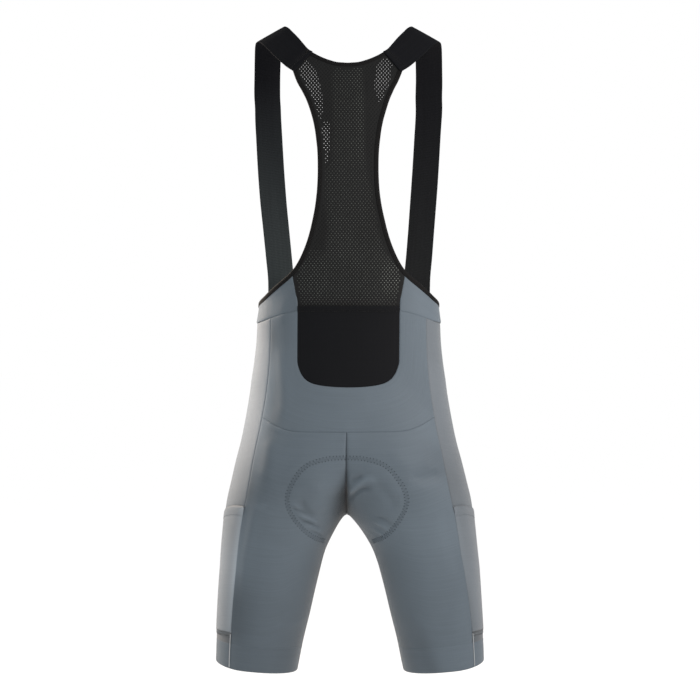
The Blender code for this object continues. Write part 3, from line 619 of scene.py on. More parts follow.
def shade(g):
    """How much of the cloth's tone is left under painted shade: in the depth of the middle crease, where it is folded
    together, and along the inner edges of the legs.
    """
    x, y, z = g[..., 0], g[..., 1], g[..., 2]
    left = np.interp(-z, (640, 662, 690, 722, 752, 790), (0.0, 0.30, 0.72, 0.72, 0.48, 0.0))
    right = np.interp(-z, (600, 655, 690, 722, 740), (0.25, 0.50, 0.72, 0.66, 0.0))
    base = np.interp(-z, (724, 752, 790), (0.0, 9.0, 26.0))
    wide_l, wide_r = np.interp(-z, (640, 662, 690, 724), (3.0, 8.5, 17.0, 20.0)), np.interp(-z, (600, 690, 724), (2.0, 4.0, 6.5))
    d = np.maximum(np.abs(x) - base, 0)
    dark = np.where(x > 0, left * np.exp(-((d / wide_l) ** 2)), right * np.exp(-((d / wide_r) ** 1.5)))
    turn = np.clip((y + 30) / 60, 0, 1)
    low_l = np.interp(-z, (740, 790, 850, 880, 910), (0.0, 0.13, 0.14, 0.15, 0.18))
    low_r = np.interp(-z, (740, 790, 850, 880, 910), (0.0, 0.05, 0.07, 0.12, 0.20))
    rim = np.maximum(np.abs(x) - 2 * curve(FORM, z, 0, 2) + curve(FORM, z, 0, 1), 0)
    dark = dark + np.where(x > 0, low_l, low_r) * np.exp(-((rim / 40) ** 2))
    dark = dark + np.where(x > 0, 0.13, 0.04) * np.interp(-z, (765, 800), (0, 1)) * np.exp(-((rim / 13) ** 2))
    return 1 - dark * turn * turn * (3 - 2 * turn)


def painted_fold_light(g):
    """Narrow folds are also painted into the knit's tone: a painted highlight on their ridges, painted shade between.
    """
    p = g.reshape(-1, 3)
    out = np.zeros(len(p))
    for (line, t), wide, tall in FOLD_LINES:
        if wide > 6:
            continue
        lo, hi = line.min(0) - 3 * wide, line.max(0) + 3 * wide
        near = np.all((p > lo) & (p < hi), axis=1)
        if not near.any():
            continue
        d, k = near_line(p[near], line)
        fade = np.clip(np.minimum(t[k], 1 - t[k]) * 4, 0, 1)
        out[near] += tall * np.exp(-((d / wide) ** 2)) * fade
    return 1 + 0.10 * np.clip(out, -2.5, 2.5).reshape(g.shape[:2])


def worn(p):
    """The garment as worn is not quite even: everything leans a little sideways, and the hems curve up outside."""
    p = np.array(p, float)
    x, z = p[:, 0].copy(), p[:, 2].copy()
    t = np.clip((np.abs(x) - 50) / 110, 0, 1)
    t = t * t * (3 - 2 * t)
    side, middle = curve(LEAN, z, 0, 1), curve(LEAN, z, 0, 2)
    p[:, 0] += side * t + middle * (1 - t)
    up = np.clip((np.abs(x) - 158) / 36, 0, 1.3) ** 2
    p[:, 2] += 4.0 * up * np.clip((-900 - z) / 50, 0, 1)
    return p


# -------------------------------------------------------------- materials


class Nodes:
    """Short way to write a node tree."""

    def __init__(self, name):
        self.mat = bpy.data.materials.new(name)
        self.mat.use_nodes = True
        self.tree = self.mat.node_tree
        self.tree.nodes.clear()
        self.out = self.add("ShaderNodeOutputMaterial")
        self.bsdf = self.add("ShaderNodeBsdfPrincipled")
        self.link(self.bsdf.outputs[0], self.out.inputs[0])

    def add(self, kind, **props):
        n = self.tree.nodes.new(kind)
        for k, v in props.items():
            setattr(n, k, v)
        return n

    def link(self, a, b):
        self.tree.links.new(a, b)

    def uv(self, su, sv):
        c = self.add("ShaderNodeUVMap", uv_map="cloth")
        m = self.add("ShaderNodeMapping")
        m.inputs["Scale"].default_value = (su, sv, 1)
        self.link(c.outputs[0], m.inputs["Vector"])
        return m.outputs[0]

    def place(self, sx, sy, sz):
        c = self.add("ShaderNodeTexCoord")
        m = self.add("ShaderNodeMapping")
        m.inputs["Scale"].default_value = (sx, sy, sz)
        self.link(c.outputs["Object"], m.inputs["Vector"])
        return m.outputs[0]

    def noise(self, vec, scale=1.0, detail=2.0, rough=0.5):
        n = self.add("ShaderNodeTexNoise")
        n.inputs["Scale"].default_value = scale
        n.inputs["Detail"].default_value = detail
        n.inputs["Roughness"].default_value = rough
        self.link(vec, n.inputs["Vector"])
        return n.outputs["Fac"]

    def wave(self, vec, direction="X", distort=0.0, profile="SIN"):
        n = self.add("ShaderNodeTexWave", bands_direction=direction, wave_profile=profile)
        n.inputs["Scale"].default_value = 1.0
        n.inputs["Distortion"].default_value = distort
        n.inputs["Detail"].default_value = 1.0
        self.link(vec, n.inputs["Vector"])
        return n.outputs["Fac"]

    def math(self, op, a, b=None, c=None):
        n = self.add("ShaderNodeMath", operation=op)
        for i, v in enumerate((a, b, c)):
            if v is None:
                continue
            if isinstance(v, (int, float)):
                n.inputs[i].default_value = v
            else:
                self.link(v, n.inputs[i])
        return n.outputs[0]

    def span(self, v, a, b, c, d):
        n = self.add("ShaderNodeMapRange")
        for i, x in zip((1, 2, 3, 4), (a, b, c, d)):
            n.inputs[i].default_value = x
        self.link(v, n.inputs[0])
        return n.outputs[0]

    def value(self, name):
        n = self.add("ShaderNodeAttribute", attribute_name=name)
        return n.outputs["Fac"]

    def tint(self, rgb, factor):
        """A colour made lighter or darker by factor."""
        n = self.add("ShaderNodeVectorMath", operation="SCALE")
        n.inputs[0].default_value = rgb
        self.link(factor, n.inputs["Scale"])
        return n.outputs[0]

    def mix(self, fac, a, b):
        n = self.add("ShaderNodeMix", data_type="RGBA")
        self.link(fac, n.inputs[0])
        for sock, v in ((n.inputs[6], a), (n.inputs[7], b)):
            if isinstance(v, tuple):
                sock.default_value = (*v, 1)
            else:
                self.link(v, sock)
        return n.outputs[2]

    def bump(self, height, strength, distance):
        n = self.add("ShaderNodeBump")
        n.inputs["Strength"].default_value = strength
        n.inputs["Distance"].default_value = distance
        self.link(height, n.inputs["Height"])
        self.link(n.outputs[0], self.bsdf.inputs["Normal"])

    def set(self, **vals):
        for k, v in vals.items():
            self.bsdf.inputs[k.replace("_", " ")].default_value = v
        return self.mat


PER_M = 1000 / 6.2832  # wave textures turn once in 2 pi


def knit_material(name, rgb, wale=0.75, course=0.55, deep=0.00016, sheen=0.08, rough=0.62, spec=0.12, vary=1.0):
    """Smooth elastic knit: fine upright wales crossed by courses, a slight heather and faint level bars."""
    n = Nodes(name)
    a = n.wave(n.uv(1000 / wale / 20 * math.pi, 1), "X", 0.0)
    b = n.wave(n.uv(1, 1000 / course / 20 * math.pi), "Y", 0.0)
    rib = n.math("MULTIPLY", n.math("ADD", a, 0.35), n.math("ADD", b, 0.25))
    heather = n.noise(n.uv(900, 1600), 1.0, 2.0)
    bars = n.noise(n.uv(9, 520), 1.0, 3.0, 0.6)
    cloud = n.noise(n.place(11, 11, 8), 1.0, 3.0)
    f = n.span(bars, 0.3, 0.7, 1 - 0.05 * vary, 1 + 0.05 * vary)
    f = n.math("MULTIPLY", f, n.span(heather, 0.3, 0.7, 1 - 0.06 * vary, 1 + 0.06 * vary))
    f = n.math("MULTIPLY", f, n.span(cloud, 0.3, 0.7, 1 - 0.035 * vary, 1 + 0.035 * vary))
    f = n.math("MULTIPLY", f, n.span(rib, 0.1, 1.2, 0.9, 1.06))
    f = n.math("MULTIPLY", f, n.value("tone"))
    n.link(n.tint(rgb, f), n.bsdf.inputs["Base Color"])
    n.link(n.span(heather, 0.3, 0.7, rough - 0.06, rough + 0.08), n.bsdf.inputs["Roughness"])
    height = n.math("ADD", rib, n.math("MULTIPLY", heather, 0.35))
    n.bump(height, 0.55, deep)
    return n.set(Specular_IOR_Level=spec, Sheen_Weight=sheen, Sheen_Roughness=0.45, Metallic=0.0)


def web_material(name, rgb, lighter):
    """Woven elastic: level ribs, a smoother selvedge, and painted sheen: the tone mixes it towards a lighter colour."""
    n = Nodes(name)
    ribs = n.wave(n.uv(1, 1000 / 1.25 / 20 * math.pi), "Y", 0.35)
    ends = n.wave(n.uv(1000 / 0.8 / 20 * math.pi, 1), "X", 0.0)
    fuzz = n.noise(n.uv(1500, 1500), 1.0, 2.0)
    long_ = n.noise(n.uv(260, 6), 1.0, 2.0)
    body = n.value("tone")
    h = n.math("ADD", n.math("MULTIPLY", ribs, 0.8), n.math("MULTIPLY", ends, 0.35))
    h = n.math("ADD", h, n.math("MULTIPLY", fuzz, 0.3))
    f = n.math("MULTIPLY", n.span(h, 0.2, 1.2, 0.78, 1.18), n.span(long_, 0.3, 0.7, 0.93, 1.07))
    shade = n.mix(body, rgb, lighter)
    m = n.add("ShaderNodeVectorMath", operation="SCALE")
    n.link(shade, m.inputs[0])
    n.link(f, m.inputs["Scale"])
    n.link(m.outputs[0], n.bsdf.inputs["Base Color"])
    n.link(n.span(fuzz, 0.3, 0.7, 0.68, 0.84), n.bsdf.inputs["Roughness"])
    n.bump(h, 0.55, 0.00022)
    return n.set(Specular_IOR_Level=0.02, Sheen_Weight=0.0, Sheen_Roughness=0.5, Metallic=0.0)


def net_material(name, rgb, backing):
    """Open knit: round dull yarns. The closed holes have a backing that the tone paints paler, as painted light seen
    through them.
    """
    n = Nodes(name)
    yarn = n.noise(n.uv(1400, 1400), 1.0, 3.0)
    cloud = n.noise(n.place(18, 18, 10), 1.0, 2.0)
    f = n.math("MULTIPLY", n.span(yarn, 0.3, 0.7, 0.75, 1.25), n.span(cloud, 0.3, 0.7, 0.88, 1.12))
    shade = n.mix(n.value("tone"), rgb, backing)
    m = n.add("ShaderNodeVectorMath", operation="SCALE")
    n.link(shade, m.inputs[0])
    n.link(f, m.inputs["Scale"])
    n.link(m.outputs[0], n.bsdf.inputs["Base Color"])
    n.link(n.span(yarn, 0.3, 0.7, 0.66, 0.82), n.bsdf.inputs["Roughness"])
    n.bump(yarn, 0.5, 0.0001)
    return n.set(Specular_IOR_Level=0.08, Sheen_Weight=0.02, Sheen_Roughness=0.5, Metallic=0.0)


def thread_material(name, rgb, rough=0.55, spec=0.25):
    """Sewing thread: a twist along it and a little unevenness."""
    n = Nodes(name)
    twist = n.noise(n.place(1300, 1300, 1300), 1.0, 2.0)
    n.link(n.tint(rgb, n.span(twist, 0.3, 0.7, 0.8, 1.2)), n.bsdf.inputs["Base Color"])
    n.bump(twist, 0.5, 0.0001)
    return n.set(Roughness=rough, Specular_IOR_Level=spec, Sheen_Weight=0.05, Metallic=0.0)


GREY_RGB = (0.0608, 0.0812, 0.1008)
M_GREY = knit_material("knit_grey", GREY_RGB)
# knit of the side panels and thigh pockets: its paler colour is partly the cloth's own and partly painted light of the
# side lamps; its stronger sheen is the cloth's own
M_SIDE = knit_material("knit_grey_side", (0.0848, 0.1045, 0.1238), sheen=0.14, spec=0.16)
M_POCKET = knit_material("pocket_black", (0.0031, 0.0037, 0.0048), 0.9, 0.7, 0.0002, 0.012, 0.7, 0.05)
M_BIND = knit_material("binding_black", (0.0040, 0.0042, 0.0046), 0.8, 0.9, 0.0002, 0.01, 0.68, 0.05)
M_NET = net_material("net_black", (0.0054, 0.0062, 0.0068), (0.150, 0.173, 0.165))
# its second colour is the painted sheen of the strap
M_STRAP = web_material("strap_black", (0.0046, 0.0051, 0.0064), (0.0262, 0.0328, 0.0352))
M_TRIM = knit_material("trim_light", (0.225, 0.25, 0.27), 0.6, 0.6, 0.0001, 0.05, 0.5, 0.15)
M_PAD = knit_material("pad_knit", (0.028, 0.032, 0.036), 1.4, 1.4, 0.0003, 0.1, 0.75, 0.15)
M_THREAD = thread_material("thread_grey", (0.056, 0.074, 0.092), 0.6, 0.08)
M_DARK = thread_material("thread_dark", (0.0050, 0.0055, 0.0062), 0.7, 0.04)
# dark dots at the needle holes of the pad's zigzag: painted shade
M_PIT_SHADE = thread_material("thread_pit", (0.016, 0.021, 0.026), 0.7, 0.03)
M_FOOT = thread_material("thread_foot", (0.105, 0.120, 0.133), 0.7, 0.06)
M_TACK = thread_material("thread_tack", (0.082, 0.098, 0.114), 0.6, 0.10)


# ------------------------------------------------------------------ meshes
def mesh_object(name, pts, faces, mat, uv=None, tone=None, mats=None, face_mat=None):
    me = bpy.data.meshes.new(name)
    me.from_pydata(worn(pts) * 0.001, [], faces)
    me.materials.append(mat)
    for m in mats or ():
        me.materials.append(m)
    layer = me.uv_layers.new(name="cloth")
    if uv is not None:
        layer.data.foreach_set("uv", np.asarray(uv, float).ravel() * 0.001)
    a = me.attributes.new("tone", "FLOAT", "POINT")
    tone = np.ones(len(pts)) if tone is None else np.asarray(tone, float).ravel()
    a.data.foreach_set("value", tone)
    if face_mat is not None:
        me.polygons.foreach_set("material_index", face_mat)
    me.shade_smooth()
    me.update()
    ob = bpy.data.objects.new(name, me)
    bpy.context.scene.collection.objects.link(ob)
    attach(ob, "root")
    return ob


def shell(name, outer, inner, mat, ring=False, tone=None):
    """A closed piece of cloth between two grids of points, with its lengths as UV in metres."""
    o, i = np.asarray(outer, float), np.asarray(inner, float)
    n, m = o.shape[:2]
    off = n * m
    # which way round the faces go, so that they look outwards
    k, c = n // 2, m // 2
    fwd = np.cross(o[k, (c + 1) % m] - o[k, c], o[min(k + 1, n - 1), c] - o[max(k - 1, 0), c])
    flip = np.dot(fwd, o[k, c] - i[k, c]) < 0
    u, v = lengths(o, 1), lengths(o, 0)
    if ring:
        close = np.linalg.norm(o[:, 0] - o[:, -1], axis=-1)
        u = np.hstack([u, (u[:, -1] + close)[:, None]])
        v = np.hstack([v, v[:, :1]])
    r, q = np.meshgrid(np.arange(n - 1), np.arange(m if ring else m - 1), indexing="ij")
    r, q = r.ravel(), q.ravel()
    q1 = (q + 1) % m
    quad = np.stack([r * m + q, r * m + q1, (r + 1) * m + q1, (r + 1) * m + q], 1)
    quv = np.stack([
        np.stack([u[r, q], v[r, q]], -1), np.stack([u[r, q + 1], v[r, q + 1]], -1),
        np.stack([u[r + 1, q + 1], v[r + 1, q + 1]], -1), np.stack([u[r + 1, q], v[r + 1, q]], -1),
    ], 1)
    back = quad[:, ::-1] + off
    buv = quv[:, ::-1]
    if flip:
        quad, quv, back, buv = quad[:, ::-1], quv[:, ::-1], back[:, ::-1], buv[:, ::-1]
    edge, euv = [], []

    def side(ids, uvs):
        for (a, b), (ua, ub) in zip(zip(ids, ids[1:]), zip(uvs, uvs[1:])):
            f = (b, a, off + a, off + b)
            w = (ub, ua, ua, ub)
            edge.append(f[::-1] if flip else f)
            euv.append(w[::-1] if flip else w)

    cols = list(range(m)) + ([0] if ring else [])
    cu = list(range(m + 1 if ring else m))
    side(cols, [(u[0, j], v[0, j]) for j in cu])
    side([(n - 1) * m + j for j in cols[::-1]], [(u[-1, j], v[-1, j]) for j in cu[::-1]])
    if not ring:
        side([j * m + m - 1 for j in range(n)], [(u[j, -1], v[j, -1]) for j in range(n)])
        side([j * m for j in range(n - 1, -1, -1)], [(u[j, 0], v[j, 0]) for j in range(n - 1, -1, -1)])
    faces = np.vstack([quad, back, np.array(edge, int)])
    uv = np.concatenate([quv.reshape(-1, 2), buv.reshape(-1, 2), np.array(euv, float).reshape(-1, 2)])
    if tone is None:
        tone = np.ones((n, m))
    tone_out, tone_in = tone if isinstance(tone, tuple) else (tone, tone)
    return mesh_object(
        name, np.vstack([o.reshape(-1, 3), i.reshape(-1, 3)]), faces.tolist(), mat, uv,
        np.concatenate([np.ravel(tone_out), np.ravel(tone_in)]),
    )


def cloth(name, node, g, push, wall, mat, ring=False, tone=None):
    """A panel of cloth on the form: g its points, push how far out of the form each is."""
    nrm = unit(normal(g))
    outer = g + nrm * np.asarray(push)[..., None] + crease(g)
    ob = shell(name, outer, outer - nrm * wall, mat, ring, tone)
    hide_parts(node)
    return ob


def sweep(name, path, inward, out, profile, mat, tone=1.0):
    """A band with the section profile, (along inward, along out) in mm, drawn along path. Ends are closed."""
    prof = np.array(profile, float)
    n, m = len(path), len(prof)
    pts = path[:, None] + inward[:, None] * prof[None, :, :1] + out[:, None] * prof[None, :, 1:]
    along = np.concatenate([[0], np.cumsum(np.linalg.norm(np.diff(path, axis=0), axis=1))])
    wrap = np.vstack([prof, prof[:1]])
    around = np.concatenate([[0], np.cumsum(np.linalg.norm(np.diff(wrap, axis=0), axis=1))])
    faces, uv = [], []
    # an outward face, tested on the first ring
    t = path[1] - path[0]
    area = 0.5 * sum(prof[k, 0] * prof[(k + 1) % m, 1] - prof[(k + 1) % m, 0] * prof[k, 1] for k in range(m))
    flip = np.dot(np.cross(inward[0], out[0]), t) * area > 0
    for r in range(n - 1):
        for c in range(m):
            d = (c + 1) % m
            f = (r * m + c, (r + 1) * m + c, (r + 1) * m + d, r * m + d)
            w = ((around[c], along[r]), (around[c], along[r + 1]), (around[c + 1], along[r + 1]), (around[c + 1], along[r]))
            faces.append(f[::-1] if flip else f)
            uv += list(w[::-1] if flip else w)
    cap0, cap1 = tuple(range(m)), tuple((n - 1) * m + c for c in range(m))
    for cap in ((cap0, cap1[::-1]) if not flip else (cap0[::-1], cap1)):
        faces.append(cap)
        uv += [(prof[v % m, 0], prof[v % m, 1]) for v in cap]
    return mesh_object(name, pts.reshape(-1, 3), faces, mat, uv, np.full(n * m, tone))


def join_bits(name, bits, mat):
    """One mesh from many small closed bits, each (points, faces)."""
    pts, faces, off = [], [], 0
    for p, f in bits:
        pts.append(p)
        faces += [tuple(off + v for v in q) for q in f]
        off += len(p)
    pts = np.vstack(pts)
    uv = [(pts[v, 0] + pts[v, 1], pts[v, 2]) for f in faces for v in f]
    return mesh_object(name, pts, faces, mat, uv)


def tube(path, out, radius, sides=6):
    """Points and faces of a closed round thread along path; out points away from the cloth."""
    path = np.asarray(path, float)
    n = len(path)
    t = unit(np.gradient(path, axis=0))
    a = unit(np.cross(t, out))
    b = np.cross(a, t)
    ang = np.linspace(0, 2 * math.pi, sides, endpoint=False)
    rad = np.full(n, radius)
    rad[0] = rad[-1] = radius * 0.45
    pts = path[:, None] + rad[:, None, None] * (
        a[:, None] * np.cos(ang)[None, :, None] + b[:, None] * np.sin(ang)[None, :, None])
    faces = []
    for r in range(n - 1):
        for c in range(sides):
            d = (c + 1) % sides
            faces.append((r * sides + c, r * sides + d, (r + 1) * sides + d, (r + 1) * sides + c))
    faces.append(tuple(range(sides))[::-1])
    faces.append(tuple((n - 1) * sides + c for c in range(sides)))
    return pts.reshape(-1, 3), faces


def stitches(path, out, pitch=2.6, gap=0.7, radius=0.28, lift=0.1):
    """A row of straight stitches on a line: short closed threads that sink at both ends."""
    s = np.concatenate([[0], np.cumsum(np.linalg.norm(np.diff(path, axis=0), axis=1))])
    bits, at = [], gap
    while at + pitch - gap < s[-1]:
        t = np.linspace(at, at + pitch - gap, 4)
        p = np.stack([np.interp(t, s, path[:, k]) for k in range(3)], -1)
        o = unit(np.stack([np.interp(t, s, out[:, k]) for k in range(3)], -1))
        rise = np.array([-0.3, 1, 1, -0.3]) * radius + lift
        bits.append(tube(p + o * rise[:, None], o, radius, 5))
        at += pitch
    return bits


# ------------------------------------------------------------ edge paths
def smooth_path(pts, step):
    line, _ = dense_line(pts, step)
    return line


def edge_run():
    """Free edge from the strap down the armhole and round the waist to the front of the strap."""
    a = np.array(ARMHOLE, float)
    back = at_xz(a[:, 0], a[:, 1], 1)
    th = np.radians(np.concatenate([np.linspace(45, 0, 10), np.linspace(-6, -34.5, 6)]))
    waist = at_angle(th, curve(WAIST_EDGE, np.degrees(th)))
    return np.vstack([back, waist])


def front_run():
    th = np.radians(np.linspace(-69, -110, 6))
    side = at_angle(th, curve(WAIST_EDGE, np.degrees(th)))
    return side[side[:, 0] > 3]


def frames(path, down):
    t = unit(np.gradient(path, axis=0))
    nrm = unit(normal(path))
    b = unit(np.cross(nrm, t))
    if (b * np.asarray(down)).sum() < 0:
        b = -b
    return b, nrm


def inward(path, width, down):
    b, _ = frames(path, down)
    return settle(path + b * width)


EDGE = settle(smooth_path(edge_run(), 2.2))
FRONT_EDGE = front_run()
FRONT_EDGE = np.vstack([FRONT_EDGE, at_xz(0.0, curve(WAIST_EDGE, -116.5), -1)[None], mirrored(FRONT_EDGE[::-1])])
FRONT_EDGE = settle(smooth_path(FRONT_EDGE, 2.2))

# z of the yoke's cloth at the free edge, by angle: it runs up inside the binding
coarse = edge_run()
low_a = inward(coarse, BIND_W - 3.5, (0, 0, -1))[len(ARMHOLE) - 4:]
KEEP = [(math.degrees(math.atan2(p[1], p[0] - pole(p[2]))), p[2]) for p in low_a]
for deg in (-44, -56):
    KEEP.append((deg, float(curve(WAIST_EDGE, deg)) - BIND_W + 3.5))
for p in FRONT_EDGE[: len(FRONT_EDGE) // 2: 6]:
    KEEP.append((math.degrees(math.atan2(p[1], p[0] - float(pole(p[2])))), p[2] - BIND_W + 3.5))


def yoke_top(p):
    return curve(KEEP, np.degrees(np.arctan2(p[..., 1], p[..., 0] - pole(p[..., 2]))))


SHEETS = []  # name, width and length of the flat cut in metres, and its area


def measure(g, ring=False):
    """Width, length and area of a grid's face, in metres."""
    u, v = lengths(g, 1), lengths(g, 0)
    wide = u[:, -1] + (np.linalg.norm(g[:, 0] - g[:, -1], axis=-1) if ring else 0)
    h = np.concatenate([g, g[:, :1]], 1) if ring else g
    a, b, c, d = h[:-1, :-1], h[:-1, 1:], h[1:, 1:], h[1:, :-1]
    area = 0.5 * (np.linalg.norm(np.cross(b - a, c - a), axis=-1) + np.linalg.norm(np.cross(c - a, d - a), axis=-1)).sum()
    return wide.max() * 0.001, v[-1].max() * 0.001, area * 1e-6


def declare(ob, g, stretch, ring=False, least=0.0):
    """Declares a sheet: its flat cut is smaller than the worn panel by the stretch each way."""
    w, l, area = measure(g, ring)
    w, l, area = w / stretch, l / stretch, area / stretch**2
    w, l = max(round(w, 3), least), max(round(l, 3), least)
    area = min(area, w * l)
    area = max(area, 0.31 * w * l)
    SHEETS.append((ob.name, w, l, round(area, 5)))


STRETCH = 1.06
# the side panels' tone is painted light and shade by height: paler where the side lamps fall on them, darker below and
# under the pockets; z, tone
SIDE_PAINTED_LIGHT = {
    "L": ((-430, 0.98), (-480, 1.17), (-560, 1.24), (-620, 1.08), (-665, 0.90), (-695, 0.80), (-720, 0.80), (-884, 0.78), (-895, 0.45), (-960, 0.45)),
    "R": ((-430, 0.78), (-474, 0.79), (-520, 0.88), (-560, 0.85), (-620, 0.75), (-665, 0.69), (-695, 0.76), (-720, 0.82), (-884, 0.82), (-895, 0.57), (-960, 0.57)),
}

# ------------------------------------------------------------------ pieces
made = {}
print("crotch", CROTCH)


def flat_side(tag, g):
    return mirrored(g) if tag == "R" else g


for tag in ("L", "R"):
    s = -1 if tag == "R" else 1

    def out_by(z):
        """The right side seam lies a little further out low on the leg, as it is worn."""
        return np.interp(-np.asarray(z, float), (775, 843, 885, 965), (0, 3.8, 5.6, 6.0)) * (tag == "R")

    # ---- seat and back of the leg
    cols = shares(190, 2.3)
    up = shares(128, 2.0, True, False, 1.6)
    down = shares(190, 2.7, False, True)
    down = np.concatenate([[0], (np.linspace(0, 1, 9)[1:-1] ** 1.8) * down[4], down[4:]])
    g = panel(lambda z: seam_angle(z, 1, HALF - out_by(z)), lambda z: middle_angle(z, 1), [
        (shifted(hip_line, -HALF), -590, None), (level(CROTCH), CROTCH, up),
        (shifted(band_line(BAND_Z), HALF), BAND_Z, down)], cols)
    g = flat_side(tag, g)
    mid_depth = np.interp(-g[:, -1, 2], (590, 700, 722, 735), (1.5, 1.8, 1.4, 0.9))[:, None]
    side_depth = np.interp(-g[:, 0, 2], (600, 690, 715), (1.3, 1.0, 0.3))[:, None]
    meet = np.interp(-g[..., 2], (700, 716, 880, 892), (0, 1, 1, 0)) * 1.15 * np.exp(-((lengths(g, 1) / 6) ** 2))
    push = relief(g) + rolled(g, left=side_depth, right=mid_depth, top=1.15, low=0.3) + meet
    # the right seam is drawn in; its shade is painted as a thin dark line above the pocket
    painted_seam_shade = np.exp(-((lengths(g, 1) / 1.4) ** 2)) * np.interp(-g[..., 2], (600, 640, 712, 760), (0.3, 1, 1, 0.2)) * (tag == "R")
    made["leg_back_" + tag] = cloth("leg_back_cloth_" + tag, "leg_back_" + tag, g, push, KNIT, M_GREY,
                                    tone=shade(g) * painted_light_tone(g) * painted_fold_light(g) * (1 - 0.32 * painted_seam_shade))
    declare(made["leg_back_" + tag], g, STRETCH)

    # ---- front of trunk and leg
    cols = shares(170, 3.0)
    up = shares(285, 3.0, True, False, 1.35)
    down = shares(190, 3.2, False, True)
    down = np.concatenate([[0], (np.linspace(0, 1, 9)[1:-1] ** 1.8) * down[4], down[4:]])
    g = panel(lambda z: seam_angle(z, -1, HALF), lambda z: middle_angle(z, -1), [
        (shifted(yoke_low, -HALF), -436, None), (level(CROTCH), CROTCH, up),
        (shifted(band_line(BAND_Z), HALF), BAND_Z, down)], cols)
    g = flat_side(tag, g)
    push = relief(g) + rolled(g, left=1.3, right=1.1, top=1.15, low=0.3)
    made["front_" + tag] = cloth("front_cloth_" + tag, "front_" + tag, g, push, KNIT, M_GREY)
    declare(made["front_" + tag], g, STRETCH)

    # ---- side panel
    cols = shares(145, 3.0)
    rows_a = shares(282, 3.0, True, False)
    rows_b = shares(176, 3.2, False, False)
    rows_c = shares(18, 2.4, False, True)
    g = panel(lambda z: seam_angle(z, 1, -HALF - out_by(z)), lambda z: seam_angle(z, -1, -HALF), [
        (shifted(yoke_low, -HALF), -433, None), (cargo_top, -714, rows_a),
        (level(CARGO_LOW), CARGO_LOW, rows_b), (shifted(band_line(BAND_Z), HALF), BAND_Z, rows_c)], cols)
    g = flat_side(tag, g)
    push = relief(g) + rolled(g, left=1.3, right=1.3, top=1.15, low=0.3)
    na, nb = len(rows_a), len(rows_a) + len(rows_b) - 1
    under = np.zeros(g.shape[:2])
    under[na:nb - 1] = -0.35  # below the pocket the panel sinks a little
    tone = curve(SIDE_PAINTED_LIGHT[tag], g[..., 2])
    made["side_" + tag] = cloth("side_cloth_" + tag, "side_" + tag, g, push + under, KNIT, M_SIDE, tone=tone)

    # ---- thigh pocket over it
    pg = g[na - 1:nb]
    down_p, up_p = lengths(pg, 0), lengths(pg, 0)
    up_p = down_p[-1:] - down_p
    across = lengths(pg, 1)
    rim = np.minimum(across, across[:, -1:] - across)
    lift = LAP + KNIT + (0.15 if tag == "L" else 0.40) * np.exp(-down_p / 16) * np.clip(rim / 9, 0, 1)
    hem = 0.35 * (1 / (1 + np.exp((down_p - 12.5) / 0.5))) - 0.35 * np.exp(-(((down_p - 13) / 0.9) ** 2))
    ripple = 0.35 * np.sin(across / 7.5 + 0.8 * s) * np.exp(-down_p / 40) * np.clip(rim / 12, 0, 1)
    ppush = relief(pg) + lift + hem + ripple + rolled(pg, left=0.25, right=0.8, top=0.9, low=1.1)
    # painted light on the thigh pocket: paler beside the back seam, where its edge rolls away from the lamps, and
    # graded along its height, differently on the left and the right
    beside = np.exp(-((across / 9) ** 2))
    if tag == "L":
        painted_light_by_seam, painted_light_rest = ((-702, 1.45), (-740, 1.5), (-790, 1.75), (-840, 1.45), (-890, 1.2)), ((-702, 0.85), (-730, 0.85), (-783, 1.05), (-840, 0.97), (-890, 0.92))
    else:
        painted_light_by_seam, painted_light_rest = ((-702, 0.93), (-760, 0.99), (-800, 0.95), (-843, 0.80), (-890, 0.78)), ((-702, 0.80), (-760, 0.88), (-843, 0.94), (-890, 0.86))
    tone = curve(painted_light_by_seam, pg[..., 2]) * beside + curve(painted_light_rest, pg[..., 2]) * (1 - beside)
    # painted shade along the folded lip of the mouth, stronger on the left
    tone = tone * (1 - (0.5 if tag == "L" else 0.15) * np.exp(-((down_p / 1.4) ** 2)))
    made["thigh_pocket_" + tag] = cloth("pocket_cloth_" + tag, "thigh_pocket_" + tag, pg, ppush, KNIT, M_SIDE, tone=tone)
    pn = unit(normal(pg))
    outer = pg + pn * ppush[..., None]
    row12 = [int(np.argmin(np.abs(down_p[:, c] - 13))) for c in range(pg.shape[1])]
    line = np.array([outer[r, c] for c, r in enumerate(row12)])[2:-2]
    nrm = np.array([pn[r, c] for c, r in enumerate(row12)])[2:-2]
    bits = stitches(line, nrm, 2.8, 0.7, 0.26)
    # bar tacks at the two ends of the mouth
    for c in (3, -4):
        a = outer[0, c]
        along = unit(outer[6, c] - outer[0, c])
        cross = unit(np.cross(pn[0, c], along))
        zig = []
        for k in range(26):
            zig.append(a + along * (k * 0.36) + cross * (0.9 if k % 2 else -0.9) + pn[0, c] * 0.3)
        bits.append(tube(np.array(zig), np.repeat(pn[0, c][None], len(zig), 0), 0.24, 5))
    made["pocket_thread_" + tag] = join_bits("pocket_thread_" + tag, bits, M_TACK)
